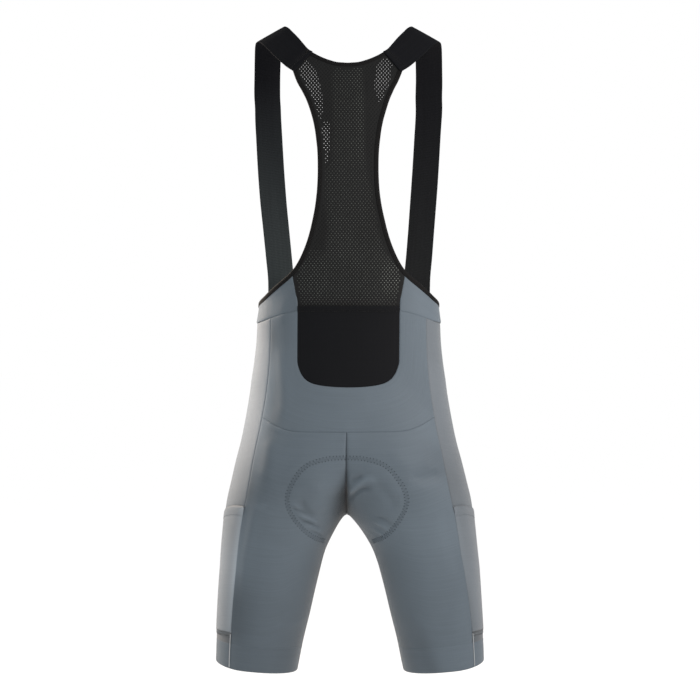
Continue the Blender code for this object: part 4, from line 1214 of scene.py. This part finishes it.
    # dense dark seam at the pocket's foot
    r = pg.shape[0] - 1
    zig = []
    foot_dir = unit(pg[r] - pg[r - 2])
    base = settle(pg[r] + foot_dir * 2.2)
    s_len = np.concatenate([[0], np.cumsum(np.linalg.norm(np.diff(base, axis=0), axis=1))])
    k, at = 0, 1.5
    while at < s_len[-1] - 1.5:
        p = np.array([np.interp(at, s_len, base[:, q]) for q in range(3)])
        fd = unit(np.array([np.interp(at, s_len, foot_dir[:, q]) for q in range(3)]))
        turn_at = p + fd * (3.3 if k % 2 else -3.3)
        zig += [(zig[-1] + turn_at) / 2, turn_at] if zig else [turn_at]
        at += 0.85
        k += 1
    zig = settle(np.array(zig))
    zn = unit(normal(zig))
    above = 1 / (1 + np.exp((zig[:, 2] - CARGO_LOW) / -0.5))  # over the pocket's own edge
    zig = zig + zn * (relief(zig[None])[0] + 0.45 + above * 0.75)[:, None]
    made["pocket_foot_" + tag] = join_bits("pocket_foot_" + tag, [tube(zig, zn, 0.26, 5)], M_FOOT)
    declare(made["thigh_pocket_" + tag], pg, STRETCH)

    # ---- light trim down the side seam
    zs = np.linspace(CARGO_LOW - 1.5, -943, 36)
    th = seam_angle(zs, 1, -0.4 - out_by(zs))
    strip = []
    for share_ in (0, 0.12, 0.5, 0.88, 1.0):
        strip.append(at_angle(th - share_ * 1.0 / 62, zs))
    strip = flat_side(tag, np.stack(strip, 1))
    rise = LAP + 0.55 + np.array([-0.25, 0.1, 0.2, 0.1, -0.25])[None] + 0 * zs[:, None]
    made["seam_tape_" + tag] = cloth("trim_" + tag, "seam_tape_" + tag, strip, rise + relief(strip), 0.7, M_TRIM)
    declare(made["side_" + tag], g, STRETCH)

    # ---- hem band
    th = np.linspace(0, 2 * math.pi, 150, endpoint=False)
    top = solve_z(lambda z: th, shifted(band_line(BAND_Z), -HALF), np.full(th.shape, BAND_Z))
    low = solve_z(lambda z: th, band_line(HEM_Z), np.full(th.shape, HEM_Z))
    t = shares(38, 2.4)
    z = top + (low - top) * t[:, None]
    g = flat_side(tag, at_angle(th[None] + 0 * z, z))
    dn = lengths(g, 0)
    foot = dn[-1:] - dn
    push = relief(g) * np.clip(foot / 12, 0.3, 1) + rolled(g, top=0.3, low=0.7, reach=0.8)
    push = push + 0.12 - 0.22 * np.exp(-(((foot - 31) / 0.8) ** 2))
    # painted light and shade on the hem band: a gradient across it, darker towards +X, the left band a little darker
    # still, painted shade towards the inner edge of the leg, and on the right leg the painted shade of its fold
    rim = np.maximum(np.abs(g[..., 0]) - 2 * curve(FORM, g[..., 2], 0, 2) + curve(FORM, g[..., 2], 0, 1), 0)
    turn = np.clip((g[..., 1] + 30) / 60, 0, 1)
    inside = np.exp(-((rim / 34) ** 2)) * turn
    tone = (0.97 - 0.11 * np.clip(g[..., 0] / 170, -0.6, 1)) * (0.95 if tag == "L" else 1.0) - (0.18 if tag == "L" else 0.23) * inside
    if tag == "R":
        tone = tone - 0.12 * painted_hem_fold_shade(g[..., 0], g[..., 2]) * turn
    made["leg_band_" + tag] = cloth("hem_band_" + tag, "leg_band_" + tag, g, push, 1.5, M_GREY, ring=True, tone=tone)
    declare(made["leg_band_" + tag], g, STRETCH, ring=True)

    # ---- upper waist
    inner_edge = lambda z: angle_of(curve(YOKE_INNER, z) + HALF, z, 1)
    g = panel(inner_edge, lambda z: middle_angle(z, -1), [
        (yoke_top, -400, None), (shifted(yoke_low, HALF), -430, shares(30, 2.4, True, True))], shares(215, 3.0))
    g = flat_side(tag, g)
    foot = lengths(g, 0)[-1:] - lengths(g, 0)
    flare = 1.7 * np.exp(-foot / 9) * np.clip((np.abs(g[..., 0]) - 118) / 14, 0, 1)
    push = relief(g) + rolled(g, left=1.1, right=1.0, low=1.15) + flare
    # painted shade: the yoke's back is darker towards the middle, more on the left
    inner = np.clip((108 - np.abs(g[..., 0])) / 30, 0, 1) * (g[..., 1] > 0)
    tone = 1 - (0.15 if tag == "L" else 0.07) * inner
    made["waist_yoke_" + tag] = cloth("yoke_cloth_" + tag, "waist_yoke_" + tag, g, push, KNIT, M_GREY, tone=tone)
    declare(made["waist_yoke_" + tag], g, STRETCH)

    # ---- folded binding of armhole and waist
    path = EDGE
    b, nrm = frames(path, (0, 0, -1))
    BINDING = (
        (-0.15, -0.7), (-0.05, 0.05), (0.35, 0.62), (1.1, 0.98), (2.4, 1.12), (3.8, 1.02), (4.7, 0.72), (5.0, 0.55),
        (5.35, 0.70), (6.0, 0.66), (6.45, 0.3), (6.55, -0.4), (6.45, -1.7), (5.2, -2.05), (3.0, -2.15), (1.1, -2.0), (0.1, -1.5),
    )
    if tag == "R":
        path, b, nrm = mirrored(path), mirrored(b), mirrored(nrm)
    ob = sweep("edge_binding_cloth_" + tag, path, b, nrm, BINDING, M_BIND)
    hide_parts("edge_binding_" + tag)
    made["edge_binding_" + tag] = ob
    bits = stitches(path + b * 5.0 + nrm * 0.5, nrm, 2.6, 0.7, 0.24)
    th_ob = join_bits("edge_thread_" + tag, bits, M_DARK)
    made["edge_thread_" + tag] = th_ob
    length = round(float(np.linalg.norm(np.diff(path, axis=0), axis=1).sum()) * 0.001 / 1.03, 3)
    SHEETS.append((ob.name, 0.010, length, round(0.010 * length, 5)))

    # ---- shoulder strap
    sec = np.array(STRAP, float)
    outer_e, inner_e = sec[:, :3], sec[:, 3:]
    (nx, nz), (ax, az) = STRAP_SEAM
    seam_o, seam_i = at_xz(ax, az, 1), at_xz(nx, nz, 1)
    back_dir = unit(seam_o + seam_i - outer_e[0] - inner_e[0])
    lap_o, lap_i = settle(seam_o + np.array([-2.6, 0, -2.2])), settle(seam_i + np.array([-2.6, 0, -2.2]))
    n_o = unit(normal(lap_o))
    n_i = unit(normal(lap_i))
    xe = np.array(STRAP_END)
    the = angle_of(xe, np.full_like(xe, -412.0), -1)
    ze = curve(KEEP, np.degrees(the)) - 4.0
    end = at_xz(xe, ze, -1)
    end_n = unit(normal(end))
    end = end + end_n * 1.9
    edge_o = np.vstack([lap_o + n_o * 2.3, seam_o + n_o * 1.9, outer_e, end[0]])
    edge_i = np.vstack([lap_i + n_i * 2.3, seam_i + n_i * 1.9, inner_e, end[1]])
    mid = (edge_o + edge_i) / 2
    s_mid = np.concatenate([[0], np.cumsum(np.linalg.norm(np.diff(mid, axis=0), axis=1))])
    t = np.linspace(0, s_mid[-1], int(s_mid[-1] / (2.6 * COARSE)))
    eo = np.stack([curve(list(zip(s_mid, edge_o[:, k])), t) for k in range(3)], -1)
    ei = np.stack([curve(list(zip(s_mid, edge_i[:, k])), t) for k in range(3)], -1)
    wide = 41.0
    c = np.array([0, 0.4, 1.1, 2.2, 3.0, 3.6, 4.4, 6.5])
    c = np.concatenate([c, np.linspace(9.5, wide / 2, 4)]) / wide
    c = np.concatenate([c, 1 - c[-2::-1]])
    g = eo[:, None] + (ei - eo)[:, None] * c[None, :, None]
    # towards its front end the strap bends round with the waist it is sewn to
    bend = np.clip(1 - (t[-1] - t - 8) / 26, 0, 1)
    bend = bend * bend * (3 - 2 * bend)
    on_form = settle(g[bend > 0])
    on_form = on_form + unit(normal(on_form)) * 2.0
    g[bend > 0] += (on_form - g[bend > 0]) * bend[bend > 0][:, None, None]
    along = np.gradient(g, axis=0)
    across_v = np.gradient(g, axis=1)
    nn = unit(np.cross(along, across_v))
    crest = int(np.argmax(g[:, len(c) // 2, 2]))
    if nn[crest, len(c) // 2, 2] < 0:
        nn = -nn
    e_mm = np.minimum(c, 1 - c) * wide
    top_h = 0.35 * (1 - np.exp(-e_mm / 0.5)) + 0.15 * np.sin(math.pi * c) - 0.28 * np.exp(-(((e_mm - 3.3) / 0.45) ** 2))
    low_h = -WEB + 0.5 * np.exp(-e_mm / 0.5)
    gm = flat_side(tag, g)
    nm = flat_side(tag, nn)
    # painted sheen on the strap's front run, growing towards its foot and far stronger on the left strap: full on the
    # inner face, a little on the outer
    zf = np.clip((-60 - gm[..., 2]) / 300, 0, 1)
    front_run_ = gm[..., 1] < -30
    tone = np.where(front_run_, zf ** 1.1, 0.0) * (1.0 if tag == "L" else 0.16)
    ob = shell("strap_web_" + tag, gm + nm * (top_h - 0.3)[None, :, None], gm + nm * low_h[None, :, None], M_STRAP, tone=(0.12 * tone, tone))
    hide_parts("strap_" + tag)
    made["strap_" + tag] = ob
    # two rows of stitches where it joins the back, and two where it joins the front
    bits = []
    for row, off in ((3, 0), (5, 0)):
        bits += stitches((gm + nm * 0.1)[row][2:-2], nm[row][2:-2], 2.6, 0.7, 0.26)
    for row in (-2, -5):
        bits += stitches((gm + nm * 0.1)[row][2:-2], nm[row][2:-2], 2.6, 0.7, 0.26)
    th_ob = join_bits("strap_thread_" + tag, bits, M_DARK)
    declare(ob, gm, 1.08)

# ---- folded binding across the front waist
b, nrm = frames(FRONT_EDGE, (0, 0, -1))
ob = sweep("front_binding_cloth", FRONT_EDGE, b, nrm, BINDING, M_BIND)
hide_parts("front_binding")
th_ob = join_bits("front_thread", stitches(FRONT_EDGE + b * 5.0 + nrm * 0.5, nrm, 2.6, 0.7, 0.24), M_DARK)
length = round(float(np.linalg.norm(np.diff(FRONT_EDGE, axis=0), axis=1).sum()) * 0.001 / 1.03, 3)
SHEETS.append((ob.name, 0.010, length, round(0.010 * length, 5)))

# ---- neck binding
xs = np.linspace(-59.0, 59.0, 84)
NECK_PATH = at_xz(np.abs(xs), curve(NECK, np.minimum(np.abs(xs), 54.5)) + 0.3 * np.maximum(np.abs(xs) - 54.5, 0), 1)
NECK_PATH[:, 0] = xs
b, nrm = frames(NECK_PATH, (0, 0, -1))
ob = sweep("neck_binding_cloth", NECK_PATH, b, nrm, BINDING, M_BIND)
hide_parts("neck_binding")
th_ob = join_bits("neck_thread", stitches(NECK_PATH + b * 5.0 + nrm * 0.5, nrm, 2.6, 0.7, 0.24), M_DARK)
length = round(float(np.linalg.norm(np.diff(NECK_PATH, axis=0), axis=1).sum()) * 0.001 / 1.03, 3)
SHEETS.append((ob.name, 0.010, length, round(0.010 * length, 5)))

# ---- back hip panel, a U between the side seams round the pocket
zc = solve_z(lambda z: np.array([seam_angle(z, 1, HALF)]).reshape(-1), shifted(hip_line, HALF), np.array([-572.0]))[0]
t1, t2 = np.linspace(0, 1, int(52 / COARSE)), np.linspace(0, 1, int(40 / COARSE))
t1 = np.concatenate([np.array(NEAR[:-1]) / 98, t1[2:]])
iz = -417.0 + (-515.0 + 417.0) * t1
inner_side = np.stack([curve(POCKET_SIDE, iz) + HALF, iz], -1)
ix = 64.2 * (1 - t2[1:])
inner_low = np.stack([ix, curve(POCKET_LOW, ix) - HALF], -1)
oz = -427.1 + (zc + 427.1) * t1
outer_side = np.stack([curve(SIDE_SEAM, oz) - HALF, oz], -1)
xc = outer_side[-1, 0]
ox = xc * (1 - t2[1:])
outer_low = np.stack([ox, curve(HIP_SEAM, ox) + HALF], -1)
inner = np.vstack([inner_side, inner_low])
outer = np.vstack([outer_side, outer_low])
# the corner is eased so that the columns of points fan out evenly
t = shares(64, 2.4)
g = inner[None] + (outer - inner)[None] * t[:, None, None]
off_seam = curve(YOKE_SEAM, g[:, 0, 0]) - 2 * HALF - g[:, 0, 1]
g[..., 1] += off_seam[:, None] * np.clip(1 - np.arange(g.shape[1]) / 12, 0, 1)[None]
g = at_xz(g[..., 0], g[..., 1], 1)
g = np.concatenate([g, mirrored(g[:, :-1][:, ::-1])], 1)
g[:, len(inner) - 1, 0] = 0
push = relief(g) + rolled(g, left=1.15, right=1.15, top=1.3, low=1.15)
# the hip panel's tone carries painted highlights and shade beside the side seams
BACK_HIP = cloth("back_hip_cloth", "back_hip", g, push, KNIT, M_GREY, tone=painted_light_tone(g))
declare(BACK_HIP, np.swapaxes(g, 0, 1), STRETCH)


# ---- rear pocket
def u_rows(z_top, step, wall=0.0):
    """Rows of the pocket's shape, which ends in a round foot."""
    across = shares(148, step)
    share = across * 2 - 1
    height = z_top + 515.0
    zs = z_top - height * shares(height + 13, step)
    rows = []
    for z0 in zs:
        dn = max(0.0, 1 - (z0 + 515.0) / 70.0) ** 2
        z = z0 + (curve(POCKET_LOW, np.abs(share) * 64.2) + 515.0) * dn
        x = np.abs(share) * float(curve(POCKET_SIDE, z0) - HALF)
        p = at_xz(x, z, 1)
        p[..., 0] *= np.sign(share) + (share == 0)
        rows.append(p)
    return np.array(rows)


g = u_rows(POCKET_TOP, 2.6)
down = lengths(g, 0)
rim = np.minimum(lengths(g, 1), lengths(g, 1)[:, -1:] - lengths(g, 1))
rim = np.minimum(rim, down[-1:] - down)
mouth = 0.55 / (1 + np.exp((down - 9.5) / 0.6)) + 0.9 * np.exp(-down / 9) * np.clip(rim / 14, 0, 1)
seam_line = -0.45 * np.exp(-(((rim - 4.6) / 0.75) ** 2))
push = mouth + seam_line + rolled(g, left=1.2, right=1.2, low=1.2) + 0.5 * relief(g) + 0.15
REAR = cloth("rear_pocket_cloth", "rear_pocket", g, push, KNIT, M_POCKET)
nrm = unit(normal(g))
outer = g + nrm * push[..., None]
bits = []
for d in (7.0, 9.2):
    r = [int(np.argmin(np.abs(down[:, c] - d))) for c in range(g.shape[1])]
    bits += stitches(np.array([outer[k, c] for c, k in enumerate(r)])[3:-3], np.array([nrm[k, c] for c, k in enumerate(r)])[3:-3], 2.6, 0.7, 0.24)
th_ob = join_bits("rear_pocket_thread", bits, M_DARK)
declare(REAR, g, 1.04)

# ---- the open net of the back
PITCH_X, PITCH_Z = 2.5, 3.1  # half a hole pitch across, a row down
b_arm, _ = frames(EDGE, (0, 0, -1))
arm_in = settle(EDGE + b_arm * (BIND_W - 3.0))
arm_in = arm_in[arm_in[:, 2] > -362]
SIDE_X = [(p[2], p[0]) for p in arm_in[::4] if p[2] < -62]
SIDE_X = [(-40, SIDE_X[0][1] + 6.0)] + SIDE_X
SIDE_X += [(z, float(curve(YOKE_INNER, z)) - HALF) for z in (-367.5, -380, -394, -407)]
SIDE_X += [(z, float(curve(POCKET_SIDE, z)) - HALF) for z in (-430, -460, -489, -499, -507.5, -515)]
SIDE_X += [(-519, 57), (-524, 44), (-530, 10)]
(nx, nz), (ax, az) = STRAP_SEAM
TOP_Z = [(x, float(curve(NECK, x)) - 3.0) for x in (0, 14, 27, 41.6, 54)] + [(60.0, nz - 4.6), (ax + 1, az - 0.8)]


def in_net(x, z):
    """Where a point of the flat lattice lies once it is kept inside the net's outline."""
    sgn = np.where(x < 0, -1.0, 1.0)
    ax_ = np.minimum(np.abs(x), np.interp(-z, [-r[0] for r in SIDE_X], [r[1] for r in SIDE_X]))
    z = np.minimum(z, np.interp(ax_, [r[0] for r in TOP_Z], [r[1] for r in TOP_Z]))
    ax_ = np.minimum(ax_, np.interp(-z, [-r[0] for r in SIDE_X], [r[1] for r in SIDE_X]))
    z = np.maximum(z, curve(POCKET_LOW, np.minimum(ax_, 64.2)) + HALF)
    return sgn * ax_, z


def amount_at(kind, x, z):
    """How strongly the places of one kind show at a point of the net."""
    best = 0.0
    for _, sort, soft, rows in NET_PLACES:
        if sort != kind:
            continue
        hs = [-r[0] for r in rows]
        if not hs[0] - soft < -z < hs[-1] + soft:
            continue
        x0, x1, amount = (float(np.interp(-z, hs, [r[c] for r in rows])) for c in (1, 2, 3))
        e = min(x - min(x0, x1), max(x0, x1) - x)
        t = min(1.0, max(0.0, 0.5 + e / (2 * soft)))
        best = max(best, amount * t * t * (3 - 2 * t))
    return best


def build_net():
    rng = np.random.default_rng(7)
    rows = int((530 - 36) / PITCH_Z)
    half = int(90 / PITCH_X) + 1
    a = np.arange(-half, half + 1)
    jj = np.arange(rows + 1)
    X0 = a[None, :] * PITCH_X + 0 * jj[:, None]
    Z0 = -36.0 - jj[:, None] * PITCH_Z + 0 * a[None, :]
    X, Z = in_net(X0.astype(float), Z0.astype(float))
    moved = np.hypot(X - X0, Z - Z0)
    P = at_xz(np.abs(X), Z, 1)
    P[..., 0] = X
    N = unit(normal(P))
    sink = -1.9 * np.clip((-392 - Z) / 12.0, 0, 1) - 0.25
    knot = 0.16
    F = P + N * (sink + knot)[..., None]
    B = F - N * NET
    m = len(a)
    pts = [F.reshape(-1, 3), B.reshape(-1, 3)]
    off_b = F.size // 3
    count = 2 * off_b
    tones = [np.zeros(count)]
    faces = []
    used = 0
    edge_count = {}
    hole_pts, hole_tone = [], []
    HOLE = np.array([(-0.80, 0.50), (0.0, 1.18), (0.80, 0.50), (0.80, -0.50), (0.0, -1.18), (-0.80, -0.50)])
    for j in range(rows):
        for i in range(-half + 1, half, 1):
            if (i + j) % 2:
                continue
            k = i + half
            ring = [j * m + k - 1, j * m + k, j * m + k + 1, (j + 1) * m + k + 1, (j + 1) * m + k, (j + 1) * m + k - 1]
            q = np.array([(X[v // m, v % m], Z[v // m, v % m]) for v in ring])
            area = 0.5 * abs(sum(q[t, 0] * q[(t + 1) % 6, 1] - q[(t + 1) % 6, 0] * q[t, 1] for t in range(6)))
            if area < 0.3:
                continue
            # drop points that fell together
            keep = [t for t in range(6) if np.hypot(*(q[t] - q[t - 1])) > 1e-3]
            shut = len(keep) < 6 or any(moved[v // m, v % m] > 0.01 for v in ring)
            cx, cz = a[k] * PITCH_X, -36.0 - (j + 0.5) * PITCH_Z
            o, lit = 0.0, -1.0
            if not shut:
                side_x = float(np.interp(-cz, [-r[0] for r in SIDE_X], [r[1] for r in SIDE_X]))
                top_z = float(np.interp(abs(cx), [r[0] for r in TOP_Z], [r[1] for r in TOP_Z]))
                margin = 6.6 if cz > -350 else 5.5
                if abs(cx) < side_x - margin and cz < top_z - 6.6 and cz > -412:
                    o, lit = amount_at("open", cx, cz), amount_at("lit", cx, cz)
            used += 1
            if lit < 0:
                f = tuple(ring[t] for t in keep)
                faces.append(("s", f))
                continue
            o *= 1 + 0.05 * rng.standard_normal()
            open_ = o > 0.22
            size = 0.62 + 0.12 * min(1.0, max(lit, o))
            size *= 1 + 0.05 * rng.standard_normal()
            through = (0.33 + 0.18 * min(1.1, o)) / size
            jit = rng.normal(0, 0.07, 2)
            hx = cx + jit[0] + HOLE[:, 0] * size
            hz = cz + jit[1] + HOLE[:, 1] * size
            faces.append(("h" if open_ else "d", tuple(ring), hx, hz, through if open_ else lit))
    # the holes' points in one go
    HX = np.array([f[2] for f in faces if f[0] != "s"])
    HZ = np.array([f[3] for f in faces if f[0] != "s"])
    hp = at_xz(np.abs(HX), HZ, 1)
    hp[..., 0] = HX
    hn = unit(normal(hp))
    hs = -1.9 * np.clip((-392 - HZ) / 12.0, 0, 1) - 0.25
    rim_f = hp + hn * (hs - 0.10)[..., None]
    mid_c = hp.mean(1, keepdims=True)
    back_size = np.array([f[4] if f[0] == "h" else 1.0 for f in faces if f[0] != "s"])
    rim_b = mid_c + (hp - mid_c) * back_size[:, None, None] + hn * (hs - NET + 0.26)[..., None]
    floor_f = mid_c + (hp - mid_c) * 0.86 + hn * (hs - 0.42)[..., None]
    out_faces, loops_uv = [], []
    new_pts, new_tone, base = [], [], count
    h = 0
    for f in faces:
        if f[0] == "s":
            out_faces.append(f[1])
            out_faces.append(tuple(v + off_b for v in f[1][::-1]))
            continue
        ring = f[1]
        r0 = base
        new_pts.append(rim_f[h])
        new_tone += [0.0] * 6
        if f[0] == "h":
            new_pts.append(rim_b[h])
            new_tone += [0.0] * 6
            for t in range(6):
                u = (t + 1) % 6
                out_faces.append((ring[t], ring[u], r0 + u, r0 + t))
                out_faces.append((ring[u] + off_b, ring[t] + off_b, r0 + 6 + t, r0 + 6 + u))
                out_faces.append((r0 + t, r0 + u, r0 + 6 + u, r0 + 6 + t))
            base += 12
        else:
            new_pts.append(floor_f[h])
            # the floor of a closed hole is painted paler by how lit its place is: painted light seen through the hole
            tone = min(1.0, 0.02 + f[4] / 2.8)
            new_tone += [tone] * 6
            for t in range(6):
                u = (t + 1) % 6
                out_faces.append((ring[t], ring[u], r0 + u, r0 + t))
                out_faces.append((r0 + t, r0 + u, r0 + 6 + u, r0 + 6 + t))
            out_faces.append(tuple(r0 + 6 + t for t in range(6)))
            out_faces.append(tuple(v + off_b for v in ring[::-1]))
            base += 12
        h += 1
    pts = np.vstack(pts + new_pts)
    tones = np.concatenate([tones[0], new_tone])
    # close the rim: front edges used once get a wall to the back
    seen = {}
    for f in out_faces:
        for x, y in zip(f, f[1:] + f[:1]):
            if x < off_b and y < off_b:
                seen[(x, y)] = seen.get((x, y), 0) + 1
    rim = [(x, y) for (x, y) in seen if (y, x) not in seen]
    for x, y in rim:
        out_faces.append((y, x, x + off_b, y + off_b))
    # keep only the points in use
    flat = np.array([v for f in out_faces for v in f])
    ids = np.unique(flat)
    remap = np.full(len(pts), -1)
    remap[ids] = np.arange(len(ids))
    out_faces = [tuple(int(remap[v]) for v in f) for f in out_faces]
    pts, tones = pts[ids], tones[ids]
    # outward means towards the back of the wearer
    f0 = out_faces[len(out_faces) // 3]
    uv = [(pts[v, 0], pts[v, 2]) for f in out_faces for v in f]
    return pts, out_faces, uv, tones


pts, faces, uv, tones = build_net()
ob = mesh_object("back_net", pts, faces, M_NET, uv, tones)
import bmesh

bm = bmesh.new()
bm.from_mesh(ob.data)
bmesh.ops.dissolve_degenerate(bm, dist=1e-6, edges=bm.edges)
bmesh.ops.recalc_face_normals(bm, faces=bm.faces)
bm.to_mesh(ob.data)
bm.free()
ob.data.shade_smooth()
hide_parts("back_mesh")
area = 0.0485
SHEETS.append((ob.name, 0.155, 0.475, area))
NET_OB = ob

# ---- zigzag that holds the pad, sewn through the seat
bits, pit_shades = [], []
for face, line in (("back", PAD_B), ("front", PAD_F)):
    whole = np.vstack([mirrored(line[::-1]), line[1:]]) if face == "back" else np.vstack([line, mirrored(line[:-1][::-1])])
    s = np.concatenate([[0], np.cumsum(np.linalg.norm(np.diff(whole, axis=0), axis=1))])
    t = np.arange(0, s[-1], 2.42)
    p = np.stack([np.interp(t, s, whole[:, k]) for k in range(3)], -1)
    nrm = unit(normal(p))
    side_dir = unit(np.cross(nrm, unit(np.gradient(p, axis=0))))
    rng = np.random.default_rng(3)
    amp = 2.7 + rng.normal(0, 0.18, len(t))
    zz = p + side_dir * (np.where(np.arange(len(t)) % 2, 1, -1) * amp)[:, None]
    fine, sunk = [], []
    for a, c in zip(zz, zz[1:]):
        for share_ in (0, 0.16, 0.5, 0.84):
            fine.append(a + (c - a) * share_)
            sunk.append(0.42 if share_ == 0 else 0.0)
    fine, sunk = np.array(fine + [zz[-1]]), np.array(sunk + [0.42])
    fine = settle(fine)
    fn = unit(normal(fine))
    fine = fine + fn * (relief(fine[None])[0] + 0.20 - sunk)[:, None] + crease(fine[None])[0]
    bits.append(tube(fine, fn, 0.20, 5))
    # where the needle went in, the cloth dips a little; a small dark dot is put there as its painted shade
    dots = settle(zz)
    dn = unit(normal(dots))
    dots = dots + dn * relief(dots[None])[0][:, None] + crease(dots[None])[0]
    for k in range(len(dots)):
        pit = dots[k] + side_dir[k] * np.array([-0.8, 0.0, 0.8])[:, None] + dn[k] * np.array([-0.16, 0.1, -0.16])[:, None]
        pit_shades.append(tube(pit, np.repeat(dn[k][None], 3, 0), 0.60, 6))
PAD_THREAD = join_bits("pad_thread", bits, M_THREAD)
join_bits("pad_needle_holes", pit_shades, M_PIT_SHADE)

# ---- the pad itself, a crowned form with sewn channels, inside the seat
src = frame["nodes"]["seat_pad"]
me = src.data.copy()
pad = bpy.data.objects.new("seat_pad_foam", me)
bpy.context.scene.collection.objects.link(pad)
me.materials.clear()
me.materials.append(M_PAD)
sub = pad.modifiers.new("round", "SUBSURF")
sub.levels = sub.render_levels = 2
dg = bpy.context.evaluated_depsgraph_get()
fine_me = bpy.data.meshes.new_from_object(pad.evaluated_get(dg))
pad.modifiers.clear()
pad.data = fine_me
for at in ("tone",):
    if at not in fine_me.attributes:
        fine_me.attributes.new(at, "FLOAT", "POINT").data.foreach_set("value", np.ones(len(fine_me.vertices)))
co = np.empty(len(fine_me.vertices) * 3)
fine_me.vertices.foreach_get("co", co)
co = co.reshape(-1, 3) * 1000
no = np.empty(len(fine_me.vertices) * 3)
fine_me.vertices.foreach_get("normal", no)
no = no.reshape(-1, 3)
skin = unit(normal(co))
inner_face = (no * skin).sum(1) < -0.3  # the side towards the wearer
x = np.abs(co[:, 0])
channel = -1.1 * np.exp(-(((x - 26 - 0.05 * np.abs(co[:, 2] + 700)) / 2.4) ** 2)) - 0.8 * np.exp(-((x / 2.2) ** 2))
co = worn(co + no * (np.where(inner_face, channel, 0))[:, None] + crease(co))
fine_me.vertices.foreach_set("co", (co * 0.001).ravel())
layer = fine_me.uv_layers.new(name="cloth") if "cloth" not in fine_me.uv_layers else fine_me.uv_layers["cloth"]
vi = np.empty(len(fine_me.loops), int)
fine_me.loops.foreach_get("vertex_index", vi)
layer.data.foreach_set("uv", (np.stack([co[vi, 0], co[vi, 2] + co[vi, 1]], -1) * 0.001).ravel())
fine_me.shade_smooth()
fine_me.update()
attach(pad, "root")
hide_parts("seat_pad")

# ------------------------------------------------------- floor and lights
world = bpy.data.worlds.new("studio")
bpy.context.scene.world = world
world.use_nodes = True
bg = world.node_tree.nodes["Background"]
bg.inputs["Color"].default_value = (1, 1, 1, 1)
bg.inputs["Strength"].default_value = 1.0

floor_me = bpy.data.meshes.new("floor")
R, Z = 60.0, -1.25
ring_pts = [(R * math.cos(k * math.tau / 64), R * math.sin(k * math.tau / 64), Z) for k in range(64)]
floor_me.from_pydata(ring_pts, [], [tuple(range(64))])
floor = bpy.data.objects.new("floor", floor_me)
bpy.context.scene.collection.objects.link(floor)
fm = Nodes("floor_pale")
fm.set(Base_Color=(1.0, 1.0, 1.0, 1), Roughness=1.0, Specular_IOR_Level=0.0)
floor_me.materials.append(fm.mat)
floor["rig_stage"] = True


def lamp(name, at, to, size, power, tint=(1, 1, 1)):
    data = bpy.data.lights.new(name, "AREA")
    data.shape = "RECTANGLE"
    data.size, data.size_y = size
    data.energy = power
    data.color = tint
    ob = bpy.data.objects.new(name, data)
    bpy.context.scene.collection.objects.link(ob)
    ob.location = at
    d = np.array(to, float) - np.array(at, float)
    d /= np.linalg.norm(d)
    from mathutils import Vector
    ob.rotation_mode = "QUATERNION"
    ob.rotation_quaternion = Vector(d).to_track_quat("-Z", "Y")
    ob.visible_camera = False
    return ob


WARM = (1.0, 0.84, 0.71)
lamp("key_left", (0.94, -0.45, -0.04), (0.12, 0.0, -0.45), (0.6, 0.6), 33.0, WARM)
lamp("edge_left", (0.9, -0.12, -0.15), (0.12, 0.0, -0.5), (0.5, 0.5), 3.2, WARM)
lamp("fill_right", (-0.7, 0.5, -0.25), (-0.12, 0.05, -0.42), (0.34, 0.34), 8.2, (1.0, 0.86, 0.79))
lamp("high_right", (-0.6, 1.2, 0.3), (-0.05, 0.0, -0.45), (0.7, 0.7), 11.0, WARM)

# ------------------------------------------------------------------ camera
cam_data = bpy.data.cameras.new("camera")
cam = bpy.data.objects.new("camera", cam_data)
bpy.context.scene.collection.objects.link(cam)
bpy.context.scene.camera = cam
cam.location = (-0.0020, 3.2, -0.474)
cam.rotation_euler = (math.pi / 2, 0, math.pi)
cam_data.sensor_width = 36
cam_data.lens = 18 / (0.525 / 3.2)
cam_data.clip_start, cam_data.clip_end = 0.05, 200
bpy.context.scene.view_settings.view_transform = "Standard"
bpy.context.scene.view_settings.look = "None"

# ------------------------------------------------------------------ finish
tri = {}
for o in bpy.context.scene.objects:
    if o.type == "MESH" and not o.hide_render and not o.get("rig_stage"):
        o.data.calc_loop_triangles()
        tri[o.name] = len(o.data.loop_triangles)
print("triangles", sum(tri.values()), tri)
for row in SHEETS:
    print("sheet", row)
low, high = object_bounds()
print("box", [round(v * 1000, 1) for v in low], [round(v * 1000, 1) for v in high])
